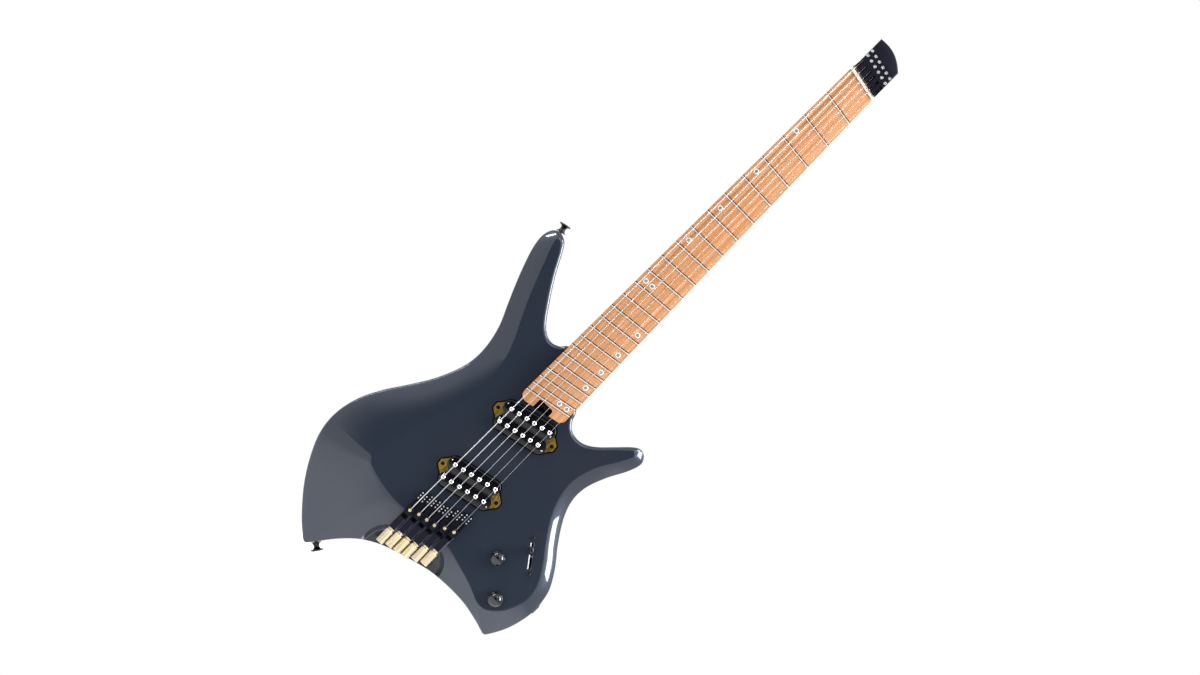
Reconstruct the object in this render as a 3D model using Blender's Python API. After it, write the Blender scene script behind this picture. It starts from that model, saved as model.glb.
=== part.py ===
"""Headless electric guitar with slanted frets, built as an assembly of separate pieces.

X runs across the strings, from the lowest string at -X to the highest at +X. Z runs along the neck
towards the head. The front faces -Y. The flat back lies in the plane y = 0, and the origin is on it,
on the neck's centre line. A height is the distance from the back towards the front, so it is -y.
All sizes are in metres.
"""

import math

import bmesh
import bpy
import numpy as np
from mathutils import Vector

# Body, as a slab with a flat raised top, bevels round it and a hollowed back at the waist
BODY_WIDTH = 0.3114
BODY_LENGTH = 0.4442
BODY_THICKNESS = 0.042
BODY_EDGE_RADIUS = 0.0028
BEVEL_CROWN = 0.45
CURVE_STEPS = 2
# Places on the body's plan are shares of its width and length, counted from the origin.
# Each row is an outline point, the point of the flat top's edge that it faces, how far the
# bevel drops between them, and how deep the back is hollowed there, the last two in metres.
BODY_OUTLINE = [
    (-0.0835, 0.2918, -0.0835, 0.2814, 0.0030, 0),
    (-0.1108, 0.2762, -0.1124, 0.2652, 0.0030, 0),
    (-0.1413, 0.2686, -0.1397, 0.2578, 0.0030, 0),
    (-0.1718, 0.2747, -0.1647, 0.2638, 0.0030, 0),
    (-0.2030, 0.2938, -0.1917, 0.2857, 0.0035, 0),
    (-0.2495, 0.3397, -0.2370, 0.3330, 0.0040, 0),
    (-0.2964, 0.3922, -0.2836, 0.3861, 0.0045, 0),
    (-0.3372, 0.4462, -0.3237, 0.4390, 0.0050, 0),
    (-0.3597, 0.4698, -0.3420, 0.4536, 0.0055, 0),
    (-0.3927, 0.4800, -0.3629, 0.4604, 0.0060, 0),
    (-0.4200, 0.4701, -0.3757, 0.4548, 0.0065, 0),
    (-0.4329, 0.4424, -0.3741, 0.4367, 0.0070, 0),
    (-0.4265, 0.4052, -0.3597, 0.4007, 0.0070, 0),
    (-0.4062, 0.3591, -0.3356, 0.3557, 0.0070, 0),
    (-0.3773, 0.3062, -0.3083, 0.3062, 0.0070, 0),
    (-0.3478, 0.2578, -0.2778, 0.2589, 0.0070, 0.0015),
    (-0.3166, 0.2067, -0.2441, 0.2094, 0.0075, 0.0040),
    (-0.2993, 0.1531, -0.2168, 0.1576, 0.0080, 0.0080),
    (-0.2980, 0.1036, -0.2049, 0.1036, 0.0080, 0.0100),
    (-0.3137, 0.0574, -0.2071, 0.0495, 0.0085, 0.0100),
    (-0.3500, 0.0000, -0.2280, -0.0068, 0.0095, 0.0080),
    (-0.3985, -0.0552, -0.2537, -0.0630, 0.0110, 0.0050),
    (-0.4528, -0.1126, -0.2794, -0.1238, 0.0120, 0.0020),
    (-0.4945, -0.1711, -0.2987, -0.1801, 0.0125, 0),
    (-0.5148, -0.2364, -0.3125, -0.2319, 0.0130, 0),
    (-0.5058, -0.2983, -0.3083, -0.2578, 0.0130, 0),
    (-0.4689, -0.3602, -0.2826, -0.2690, 0.0130, 0),
    (-0.4159, -0.4196, -0.2473, -0.2769, 0.0130, 0),
    (-0.3516, -0.4728, -0.2152, -0.2819, 0.0130, 0),
    (-0.3003, -0.5070, -0.1927, -0.2848, 0.0130, 0),
    (-0.2714, -0.5200, -0.1766, -0.2864, 0.0125, 0),
    (-0.2489, -0.5050, -0.1638, -0.2873, 0.0120, 0),
    (-0.1991, -0.4604, -0.1381, -0.2882, 0.0110, 0),
    (-0.1429, -0.4214, -0.1060, -0.2870, 0.0080, 0),
    (-0.0803, -0.3944, -0.0642, -0.2848, 0.0050, 0),
    (-0.0161, -0.3778, -0.0161, -0.2825, 0.0040, 0),
    (0.0578, -0.3629, 0.0450, -0.2796, 0.0040, 0),
    (0.1285, -0.3516, 0.1060, -0.2780, 0.0060, 0),
    (0.2087, -0.3478, 0.1766, -0.2911, 0.0090, 0),
    (0.2890, -0.3503, 0.2441, -0.3050, 0.0110, 0),
    (0.3597, -0.3609, 0.2970, -0.3197, 0.0120, 0),
    (0.3950, -0.3683, 0.3227, -0.3264, 0.0125, 0),
    (0.4152, -0.3708, 0.3452, -0.3271, 0.0125, 0),
    (0.4303, -0.3593, 0.3661, -0.3219, 0.0120, 0),
    (0.4608, -0.3192, 0.4030, -0.2983, 0.0105, 0),
    (0.4801, -0.2724, 0.4287, -0.2645, 0.0095, 0),
    (0.4852, -0.2319, 0.4406, -0.2308, 0.0090, 0),
    (0.4737, -0.1801, 0.4303, -0.1891, 0.0085, 0),
    (0.4335, -0.1288, 0.3902, -0.1407, 0.0085, 0),
    (0.3796, -0.0799, 0.3372, -0.0907, 0.0085, 0),
    (0.3308, -0.0254, 0.2874, -0.0333, 0.0085, 0),
    (0.3070, 0.0225, 0.2633, 0.0214, 0.0080, 0),
    (0.3092, 0.0698, 0.2627, 0.0698, 0.0080, 0),
    (0.3372, 0.1227, 0.2874, 0.1227, 0.0075, 0),
    (0.3741, 0.1711, 0.3250, 0.1677, 0.0070, 0),
    (0.3908, 0.2060, 0.3484, 0.1970, 0.0065, 0),
    (0.3796, 0.2265, 0.3532, 0.2094, 0.0060, 0),
    (0.3548, 0.2341, 0.3452, 0.2168, 0.0055, 0),
    (0.3276, 0.2247, 0.3308, 0.2112, 0.0050, 0),
    (0.2826, 0.1941, 0.2929, 0.1864, 0.0040, 0),
    (0.2380, 0.1637, 0.2479, 0.1553, 0.0035, 0),
    (0.2007, 0.1461, 0.2042, 0.1355, 0.0030, 0),
    (0.1654, 0.1412, 0.1638, 0.1303, 0.0030, 0),
    (0.1317, 0.1472, 0.1246, 0.1373, 0.0030, 0),
    (0.1076, 0.1661, 0.0957, 0.1594, 0.0030, 0),
    (0.0938, 0.1887, 0.0803, 0.1835, 0.0030, 0),
    (0.0385, 0.2375, 0.0289, 0.2285, 0.0030, 0),
    (-0.0257, 0.2724, -0.0321, 0.2623, 0.0030, 0),
]

# Clearances
GAP = 0.0003
SHAFT_CLEARANCE = 0.0003
BOLT_CLEARANCE = 0.0004
OVERCUT = 0.004

# Scale and frets: the fret that crosses the neck squarely lies at one height for both scales
SCALE_LOW = 0.6731
SCALE_HIGH = 0.6477
SQUARE_FRET = 7
SQUARE_FRET_Z = 0.3447
FRET_COUNT = 24
FRET_WIDTH = 0.0024
FRET_HEIGHT = 0.0011
FRET_TANG = 0.0008
FRET_END_INSET = 0.0004
FRET_SPANS = 3

# Fingerboard and neck
BOARD_THICKNESS = 0.0057
BOARD_RADIUS = 0.400
NUT_WIDTH = 0.0412
BOARD_END_WIDTH = 0.0568
BOARD_END_Z = 0.0562
BOARD_END_SLOPE = 0.205
BOARD_CORNER_RADIUS = 0.0085
NOTCH_X = 0.001
NOTCH_WIDTH = 0.020
NOTCH_DEPTH = 0.0100
NOTCH_RADIUS = 0.003
NECK_TOP = 0.0455
HEEL_DEPTH = 0.019
NECK_DEPTH_AT_HEEL = 0.0160
NECK_DEPTH_AT_NUT = 0.0142
HEEL_END_Z = 0.124
HEEL_BLEND = 0.048
NECK_SIDES = 14

# Nut
NUT_THICKNESS = 0.0038
NUT_SEAT = 0.003
NUT_RISE = 0.0021
NUT_NOTCH = 0.0016

# Strings
STRING_GAUGES = (0.00117, 0.00091, 0.00066, 0.00043, 0.00033, 0.00025)
STRING_CENTRE_X = 0.0005
NUT_STRING_SPACING = 0.0072
BRIDGE_STRING_SPACING = 0.0104
STRING_HEIGHT_AT_NUT = 0.0533
STRING_HEIGHT_AT_SADDLE = 0.0560
STRING_HEIGHT_IN_HEAD = 0.0524
STRING_HEIGHT_AT_BALL = 0.0531
BALL_RADIUS = 0.0018
BALL_LENGTH = 0.0036
STRING_SIDES = 8

# Head block that clamps the strings
HEAD_HALF_WIDTH = 0.0200
HEAD_X = 0.0007
HEAD_HEIGHT = 0.0115
# Heights above the middle of the nut: where each side starts and ends, lowest string's side first
HEAD_START = (0.0103, 0.0006)
HEAD_END = (0.0516, 0.0372)
# Points of the curved end between the sides, x and height above the middle of the nut
HEAD_CURVE = [(0.0160, 0.0414), (0.0105, 0.0455), (0.0040, 0.0489), (-0.0030, 0.0510), (-0.0110, 0.0519)]
CLAMP_ROW = 0.0183
FIXING_ROW = 0.0254
GROOVE_LENGTH = 0.0130
GROOVE_WIDTH = 0.0034
GROOVE_FLOOR = 0.0054
TUNNEL_WIDTH = 0.0024
TUNNEL_HEIGHT = 0.0030
LOCK_HEAD_RADIUS = 0.0019
LOCK_HEAD_HEIGHT = 0.0020
LOCK_SHANK_RADIUS = 0.0011
LOCK_SOCKET_RADIUS = 0.0010
LOCK_SOCKET_DEPTH = 0.0012
FIXING_PROUD = 0.0005

# One bridge unit for each string
UNIT_WIDTH = 0.0093
UNIT_LENGTH = 0.0540
UNIT_WALL = 0.0012
UNIT_FLOOR = 0.0025
UNIT_WALL_TOP = 0.0088
UNIT_BLOCK_TOP = 0.0098
SADDLE_BAY = 0.0142
SADDLE_BAY_WALL_TOP = 0.0082
CHANNEL_LENGTH = 0.0370
SADDLE_CONTACT = 0.0070
COMPENSATION = (-0.0015, -0.0006, -0.0017, -0.0030, -0.0002, 0.0009)
SADDLE_LENGTH = 0.0110
SADDLE_FRONT = 0.0008
SADDLE_HEAD_WIDTH = 0.0090
SADDLE_HEAD_HEIGHT = 0.0024
SADDLE_CROWN_WIDTH = 0.0038
SADDLE_CROWN_FLAT = 0.0010
SADDLE_CROWN_RUN = 0.0036
SADDLE_SCREW_X = 0.0031
SADDLE_SCREW_RADIUS = 0.0010
SADDLE_SCREW_PROUD = 0.0006
SADDLE_SCREWS = (0.0022, 0.0064)
CARRIAGE_START = 0.0220
CARRIAGE_LENGTH = 0.0100
CARRIAGE_TOP = 0.0122
BALL_Z = 0.0260
ROD_AXIS = 0.0062
ROD_RADIUS = 0.0017
ROD_ENGAGEMENT = 0.0065
TUNER_GAP = 0.0004
TUNER_COLLAR_RADIUS = 0.0039
TUNER_COLLAR_LENGTH = 0.0020
TUNER_NECK_RADIUS = 0.0030
TUNER_NECK_LENGTH = 0.0008
TUNER_RADIUS = 0.00475
TUNER_LENGTH = 0.0180
TUNER_CHAMFER = 0.0008
TUNER_FLUTE = 0.0003
TUNER_FLUTES = 8

# Scoop in the tail that leaves room for fingers round the tuning knobs
SCOOP_FLOOR = 0.022
SCOOP_WALL_RUN = 0.0060
SCOOP_RIM = [
    (-0.0480, -0.2200, 0), (-0.0435, -0.1650, 0.018), (-0.0315, -0.1490, 0.008),
    (0.0325, -0.1285, 0.009), (0.0500, -0.1450, 0.010), (0.0545, -0.2200, 0),
]

# Pickups: centre, slant of the coils and slant of the base plate
PICKUPS = {
    "neck": (0.0008, 0.0316, 12.4, 8.2),
    "bridge": (0.0006, -0.0560, 13.0, 7.9),
}
COIL_LENGTH = 0.0666
COIL_WIDTH = 0.0180
COIL_CORNER = 0.0085
COIL_SPACING = 0.0184
COIL_HEIGHT = 0.0117
COIL_FLANGE = 0.0012
COIL_TOP_FLANGE = 0.0022
COIL_WINDING_INSET = 0.0010
COIL_PROUD = 0.0075
POLE_RADIUS = 0.0025
POLE_PROUD = 0.0011
POLE_SIDES = 10
PLATE_LENGTH = 0.0660
PLATE_WIDTH = 0.0220
PLATE_EAR = 0.0083
PLATE_EAR_WIDTH = 0.0070
PLATE_EAR_RADIUS = 0.0033
PLATE_THICKNESS = 0.0012
EAR_SCREW_RADIUS = 0.0014
EAR_SCREW_HEAD_RADIUS = 0.0021
EAR_SCREW_HEAD = 0.0018
EAR_SCREW_INSET = 0.0040
PICKUP_CAVITY_CLEARANCE = 0.0011
PICKUP_CAVITY_DEPTH = 0.0180

# Control knobs and their potentiometers
CONTROL_KNOBS = {"volume": (0.2617, -0.2105), "tone": (0.3581, -0.2870)}
KNOB_RADIUS = 0.0091
KNOB_SKIRT = 0.0042
KNOB_DOME = 0.0088
KNOB_SEAT_GAP = 0.0004
SHAFT_RADIUS = 0.0030
POT_RADIUS = 0.0085
POT_HEIGHT = 0.0072
POT_SHOULDER_RADIUS = 0.0062
POT_FLOOR = 0.0012
BUSHING_WALL = 0.0007
TURNED_SIDES = 20

# Blade selector switch, along a slanted slot
SWITCH_PLACE = (0.3404, -0.1479)
SWITCH_SLANT = -53.13
SLOT_LENGTH = 0.0280
SLOT_WIDTH = 0.0024
SWITCH_FRAME_LENGTH = 0.0440
SWITCH_FRAME_WIDTH = 0.0100
SWITCH_FRAME_DEPTH = 0.0145
SWITCH_BAY_LENGTH = 0.0300
LEVER_PIVOT_DEPTH = 0.0140
LEVER_TILT = 17.0
LEVER_THICKNESS = 0.0013
LEVER_WIDTH = 0.0050
LEVER_HUB_RADIUS = 0.0030
LEVER_HUB_WIDTH = 0.0026
LEVER_TIP_START = 0.0172
LEVER_TIP_LENGTH = 0.0090
LEVER_TIP_WIDTH = 0.0058
LEVER_TIP_BREADTH = 0.0096

# Control cavity in the back and its cover
CONTROL_WALL = 0.005
CONTROL_CAVITY = [
    (0.2184, -0.2071, 0.012), (0.2441, -0.1036, 0.012), (0.3083, -0.0743, 0.010), (0.4143, -0.1756, 0.012),
    (0.4303, -0.2521, 0.012), (0.3918, -0.3219, 0.012), (0.2954, -0.3017, 0.012),
]
COVER_LIP = 0.0050
COVER_THICKNESS = 0.0020

# Output jack in the treble edge
JACK_PLACE = (0.4849, -0.2353)
JACK_HEIGHT = 0.0185
JACK_BARREL_RADIUS = 0.0060
JACK_BARREL_LENGTH = 0.0250
JACK_BORE_RADIUS = 0.0033
JACK_BORE_DEPTH = 0.0220
JACK_FLANGE_RADIUS = 0.0092
JACK_FLANGE = 0.0016

# Strap buttons: place of the foot, direction and height of each
STRAP_BUTTONS = {
    "horn": (-0.3937, 0.4800, -0.20, 0.98, 0.0185),
    "tail": (-0.2434, -0.5002, 0.80, -0.60, 0.0160),
}
STRAP_SCREW_RADIUS = 0.0020
STRAP_SCREW_LENGTH = 0.0120
# Radius and distance from the foot of each turned ring
STRAP_PROFILE = [
    (0.0055, 0.0003), (0.0055, 0.0016), (0.0036, 0.0030), (0.0031, 0.0058),
    (0.0043, 0.0078), (0.0070, 0.0088), (0.0070, 0.0101), (0.0042, 0.0110),
]

# Neck plate, bolts and truss rod
NECK_PLATE = [
    (-0.0220, 0.0610, 0.004), (0.0220, 0.0610, 0.004), (0.0220, 0.0860, 0.004), (-0.0220, 0.1120, 0.004),
]
NECK_PLATE_THICKNESS = 0.0020
NECK_BOLTS = [(-0.0160, 0.0670), (0.0160, 0.0670), (0.0160, 0.0830), (-0.0160, 0.1040)]
NECK_BOLT_RADIUS = 0.0022
NECK_BOLT_REACH = 0.0150
TRUSS_ROD_RADIUS = 0.0025
TRUSS_ROD_DEPTH = 0.0040
TRUSS_WHEEL_RADIUS = 0.0062
TRUSS_WHEEL_WIDTH = 0.0050
TRUSS_WHEEL_NOTCHES = 8
TRUSS_WHEEL_NOTCH_DEPTH = 0.0014
TRUSS_STUB_LENGTH = 0.0070
TRUSS_ROD_TO_NUT = 0.0143

# Everything worked out from the sizes above
STRING_COUNT = len(STRING_GAUGES)
FLOOR_OF_UNIT = BODY_THICKNESS + GAP
BOARD_BOTTOM = NECK_TOP + GAP
BOARD_TOP = BOARD_BOTTOM + BOARD_THICKNESS
COIL_TOP = BODY_THICKNESS + COIL_PROUD
COIL_BOTTOM = COIL_TOP - COIL_HEIGHT
PLATE_TOP = COIL_BOTTOM - GAP
PICKUP_CAVITY_FLOOR = BODY_THICKNESS - PICKUP_CAVITY_DEPTH
CAVITY_CEILING = BODY_THICKNESS - CONTROL_WALL
ROD_HEIGHT = FLOOR_OF_UNIT + ROD_AXIS
SLIDER_WIDTH = UNIT_WIDTH - 2 * (UNIT_WALL + GAP)
SLIDER_FLOOR = FLOOR_OF_UNIT + UNIT_FLOOR + GAP
TRUSS_HEIGHT = NECK_TOP - TRUSS_ROD_DEPTH


def fret_fraction(number):
    """The share of the scale between the nut and this fret, in equal temperament."""
    return 1 - 2 ** (-number / 12)


NUT_LOW_Z = SQUARE_FRET_Z + SCALE_LOW * fret_fraction(SQUARE_FRET)
NUT_HIGH_Z = SQUARE_FRET_Z + SCALE_HIGH * fret_fraction(SQUARE_FRET)
NUT_CENTRE_Z = (NUT_LOW_Z + NUT_HIGH_Z) / 2
TRUSS_ROD_END_Z = NUT_CENTRE_Z - TRUSS_ROD_TO_NUT


def board_half_width(z):
    along = (NUT_CENTRE_Z - z) / (NUT_CENTRE_Z - BOARD_END_Z)
    return (NUT_WIDTH + along * (BOARD_END_WIDTH - NUT_WIDTH)) / 2


def slanted_line(fraction):
    """Both ends (x, z) of the line at this share of the two scales, on the edges of the neck."""
    low_z = NUT_LOW_Z - SCALE_LOW * fraction
    high_z = NUT_HIGH_Z - SCALE_HIGH * fraction
    return (-board_half_width(low_z), low_z), (board_half_width(high_z), high_z)


def line_z(line, x):
    (x0, z0), (x1, z1) = line
    return z0 + (z1 - z0) * (x - x0) / (x1 - x0)


NUT_LINE = slanted_line(0)
SADDLE_LINE = slanted_line(1)


def camber(x):
    """How far the curved fingerboard falls away at this distance from its centre line."""
    return x * x / (2 * BOARD_RADIUS)


def across(index):
    return index - (STRING_COUNT - 1) / 2


def nut_x(index):
    return STRING_CENTRE_X + across(index) * NUT_STRING_SPACING


def unit_x(index):
    return STRING_CENTRE_X + across(index) * BRIDGE_STRING_SPACING


def saddle_z(index):
    return line_z(SADDLE_LINE, unit_x(index)) + COMPENSATION[index]


def unit_front(index):
    return saddle_z(index) + SADDLE_CONTACT


def string_x(index, z):
    """The string runs straight from its saddle over the nut into the head block."""
    nut_z = line_z(NUT_LINE, nut_x(index))
    share = (nut_z - z) / (nut_z - saddle_z(index))
    return nut_x(index) + min(share, 1) * (unit_x(index) - nut_x(index))


def at(x, z, height):
    return (x, -height, z)


def on_plan(across_share, along_share):
    """The point (x, z) at these shares of the body's width and length."""
    return across_share * BODY_WIDTH, along_share * BODY_LENGTH


def linear(colour):
    """An sRGB hex colour as linear red, green, blue and alpha."""
    values = [int(colour[i:i + 2], 16) / 255 for i in (1, 3, 5)]
    return [v / 12.92 if v <= 0.04045 else ((v + 0.055) / 1.055) ** 2.4 for v in values] + [1]


FINISHES = {
    "graphite_lacquer": ("#353B48", 0.28, 0.45),
    "roasted_maple": ("#D3935A", 0.50, 0.0),
    "roasted_board": ("#CF8B53", 0.55, 0.0),
    "bone": ("#EEEADC", 0.45, 0.0),
    "black_alloy": ("#16171B", 0.35, 0.8),
    "bright_steel": ("#C9CBCE", 0.25, 1.0),
    "champagne_alloy": ("#E9DAB0", 0.40, 0.5),
    "black_plastic": ("#14151A", 0.35, 0.0),
    "brass": ("#B58F42", 0.32, 1.0),
    "black_chrome": ("#1C1D21", 0.12, 1.0),
    "zinc": ("#9A9C9F", 0.40, 1.0),
}


def finish(name):
    found = bpy.data.materials.get(name)
    if found:
        return found
    colour, roughness, metallic = FINISHES[name]
    made = bpy.data.materials.new(name)
    made.use_nodes = True
    made.diffuse_color = linear(colour)
    shader = made.node_tree.nodes["Principled BSDF"]
    shader.inputs["Base Color"].default_value = linear(colour)
    shader.inputs["Roughness"].default_value = roughness
    shader.inputs["Metallic"].default_value = metallic
    return made


def solid(points, faces, name="shape"):
    """A closed mesh object with its faces pointing out."""
    mesh = bpy.data.meshes.new(name)
    mesh.from_pydata([tuple(p) for p in points], [], faces)
    work = bmesh.new()
    work.from_mesh(mesh)
    bmesh.ops.recalc_face_normals(work, faces=work.faces)
    work.to_mesh(mesh)
    work.free()
    made = bpy.data.objects.new(name, mesh)
    bpy.context.scene.collection.objects.link(made)
    return made


def loft(rings):
    """Skins a row of closed rings with equal numbers of points, and caps both ends."""
    count = len(rings[0])
    points = [p for ring in rings for p in ring]
    faces = [tuple(range(count)), tuple(range(len(points) - count, len(points)))]
    for start in range(0, len(points) - count, count):
        for i in range(count):
            j = (i + 1) % count
            faces.append((start + i, start + j, start + count + j, start + count + i))
    return solid(points, faces)


def prism(outline, low, high):
    """An outline of (x, z) points between two heights."""
    return loft([[at(x, z, height) for x, z in outline] for height in (low, high)])


def box(x0, x1, z0, z1, low, high):
    return prism([(x0, z0), (x1, z0), (x1, z1), (x0, z1)], low, high)


def turned(profile, foot, axis, sides=TURNED_SIDES, flutes=None):
    """A profile of (radius, distance) turned round an axis from its foot.

    flutes, one number a ring, draws in every other point of that ring.
    """
    axis = Vector(axis).normalized()
    side = axis.orthogonal().normalized()
    other = axis.cross(side)
    foot = Vector(foot)
    rings = []
    for index, (radius, distance) in enumerate(profile):
        ring = []
        for i in range(sides):
            turn = 2 * math.pi * i / sides
            reach = radius - (flutes[index] if flutes and i % 2 else 0)
            ring.append(foot + axis * distance + reach * (side * math.cos(turn) + other * math.sin(turn)))
        rings.append(ring)
    return loft(rings)


def boolean(target, tool, operation):
    """Cuts or joins a tool into the target, and removes the tool."""
    change = target.modifiers.new(operation, "BOOLEAN")
    change.operation = operation
    change.object = tool
    change.solver = "EXACT"
    bpy.context.view_layer.update()
    result = target.evaluated_get(bpy.context.evaluated_depsgraph_get())
    mesh = bpy.data.meshes.new_from_object(result)
    target.modifiers.remove(change)
    target.data = mesh
    bpy.data.objects.remove(tool)
    return target


def cut(target, *tools):
    for tool in tools:
        boolean(target, tool, "DIFFERENCE")
    return target


def join(target, *tools):
    for tool in tools:
        boolean(target, tool, "UNION")
    return target


def group(shapes):
    """Puts shapes that stay apart into one tool, so that one cut or join takes them all."""
    work = bmesh.new()
    for shape in shapes:
        work.from_mesh(shape.data)
        bpy.data.objects.remove(shape)
    mesh = bpy.data.meshes.new("group")
    work.to_mesh(mesh)
    work.free()
    made = bpy.data.objects.new("group", mesh)
    bpy.context.scene.collection.objects.link(made)
    return made


def piece(made, name, surface, origin=(0, 0, 0)):
    """Names a finished piece, gives it its finish, and puts its origin where it turns or slides."""
    made.name = name
    made.data.name = name
    made.data.materials.clear()
    made.data.materials.append(finish(surface))
    made.data.shade_smooth()
    made.data.set_sharp_from_angle(angle=math.radians(32))
    shift = Vector(origin)
    made.data.vertices.foreach_set(
        "co", (np.array([v.co for v in made.data.vertices]) - np.array(shift)).ravel())
    made.location = shift
    return made


def smooth_closed(points, steps):
    """A closed curve through the points: the cubic that leaves each point towards its neighbours."""
    points = np.asarray(points, float)
    before, after = np.roll(points, 1, axis=0), np.roll(points, -1, axis=0)
    beyond = np.roll(points, -2, axis=0)
    rows = []
    for t in np.arange(steps) / steps:
        rows.append(0.5 * (2 * points + (after - before) * t
                           + (2 * before - 5 * points + 4 * after - beyond) * t ** 2
                           + (3 * points - before - 3 * after + beyond) * t ** 3))
    return np.stack(rows, axis=1).reshape(-1, points.shape[1])


def rounded(corners):
    """A polygon of (x, z, radius) corners with each corner turned into an arc."""
    outline = []
    count = len(corners)
    for i, (x, z, radius) in enumerate(corners):
        here = Vector((x, z))
        back = (Vector(corners[i - 1][:2]) - here).normalized()
        ahead = (Vector(corners[(i + 1) % count][:2]) - here).normalized()
        if radius == 0:
            outline.append((x, z))
            continue
        opening = back.angle(ahead)
        centre = here + (back + ahead).normalized() * radius / math.sin(opening / 2)
        reach = radius / math.tan(opening / 2)
        start, end = here + back * reach - centre, here + ahead * reach - centre
        steps = max(2, round((math.pi - opening) / math.radians(24)))
        sweep = start.angle_signed(end)
        for k in range(steps + 1):
            turn = -sweep * k / steps
            outline.append((centre.x + start.x * math.cos(turn) - start.y * math.sin(turn),
                            centre.y + start.x * math.sin(turn) + start.y * math.cos(turn)))
    return outline


def grown(outline, distance):
    """The outline moved outwards by a distance, or inwards by a negative one."""
    points = np.asarray(outline, float)
    edges = np.roll(points, -1, axis=0) - points
    area = np.sum(points[:, 0] * np.roll(points[:, 1], -1) - np.roll(points[:, 0], -1) * points[:, 1])
    normals = np.stack([edges[:, 1], -edges[:, 0]], axis=1) * np.sign(area)
    normals /= np.linalg.norm(normals, axis=1, keepdims=True)
    both = normals + np.roll(normals, 1, axis=0)
    both /= np.sum(both * normals, axis=1, keepdims=True)
    return [tuple(p) for p in points + both * distance]


def turned_plan(outline, centre_x, centre_z, slant):
    """An outline of local points turned by a slant in degrees and moved to a centre."""
    c, s = math.cos(math.radians(slant)), math.sin(math.radians(slant))
    return [(centre_x + c * u - s * v, centre_z + s * u + c * v) for u, v in outline]


def clear_scene():
    for old in list(bpy.data.objects):
        bpy.data.objects.remove(old)


def pocket_outline(clearance):
    """The heel's outline with a clearance, running out past the end of the body."""
    mouth_z = HEEL_END_Z + HEEL_BLEND + 2 * OVERCUT
    corners = []
    for side in (-1, 1):
        half = board_half_width(BOARD_END_Z) + clearance
        corners.append((side * half, BOARD_END_Z + BOARD_END_SLOPE * side * half - clearance,
                        BOARD_CORNER_RADIUS + clearance))
    for side in (1, -1):
        corners.append((side * (board_half_width(mouth_z) + clearance), mouth_z, 0))
    return rounded(corners)


def coil_outline(clearance=0.0, width=COIL_WIDTH):
    half_length = COIL_LENGTH / 2 + clearance
    half_width = width / 2 + clearance
    corner = COIL_CORNER + clearance
    return rounded([(-half_length, -half_width, corner), (half_length, -half_width, corner),
                    (half_length, half_width, corner), (-half_length, half_width, corner)])


def plate_outline(clearance=0.0):
    """The base plate: a strip with a tapered ear at each end."""
    length, width = PLATE_LENGTH / 2 + clearance / 2, PLATE_WIDTH / 2 + clearance
    tip, tip_width = PLATE_LENGTH / 2 + PLATE_EAR + clearance, PLATE_EAR_WIDTH / 2 + clearance
    radius = PLATE_EAR_RADIUS
    return rounded([(-length, -width, 0), (length, -width, 0), (tip, -tip_width, radius),
                    (tip, tip_width, radius), (length, width, 0), (-length, width, 0),
                    (-tip, tip_width, radius), (-tip, -tip_width, radius)])


def control_cavity():
    return rounded([(*on_plan(u, v), radius) for u, v, radius in CONTROL_CAVITY])


def body_slab():
    """The uncut slab: rings of points climb from the flat back round the edge and over the bevel."""
    pairs = np.array(BODY_OUTLINE, float)
    curve = smooth_closed(pairs, CURVE_STEPS)
    outer = curve[:, 0:2] * (BODY_WIDTH, BODY_LENGTH)
    inner = curve[:, 2:4] * (BODY_WIDTH, BODY_LENGTH)
    drop, hollow = curve[:, 4], np.maximum(curve[:, 5], 0)
    inward = (inner - outer) / np.linalg.norm(inner - outer, axis=1, keepdims=True)
    top = BODY_THICKNESS - drop
    tuck = 1 - math.sqrt(0.5)
    radius = BODY_EDGE_RADIUS

    def ring(plan, heights):
        heights = np.broadcast_to(heights, len(plan))
        return [at(x, z, height) for (x, z), height in zip(plan, heights)]

    edge = outer + inward * radius
    middle = (edge + inner) / 2
    crowned = top + drop * (1 - 0.5 * (1 - BEVEL_CROWN) - 0.25 * BEVEL_CROWN)
    return loft([
        ring(inner, 0),
        ring(edge, hollow),
        ring(outer + inward * radius * tuck, hollow + radius * tuck),
        ring(outer, hollow + radius),
        ring(outer, top - radius),
        ring(outer + inward * radius * tuck, top - radius * tuck),
        ring(edge, top),
        ring(middle, crowned),
        ring(inner, BODY_THICKNESS),
    ])


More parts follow.
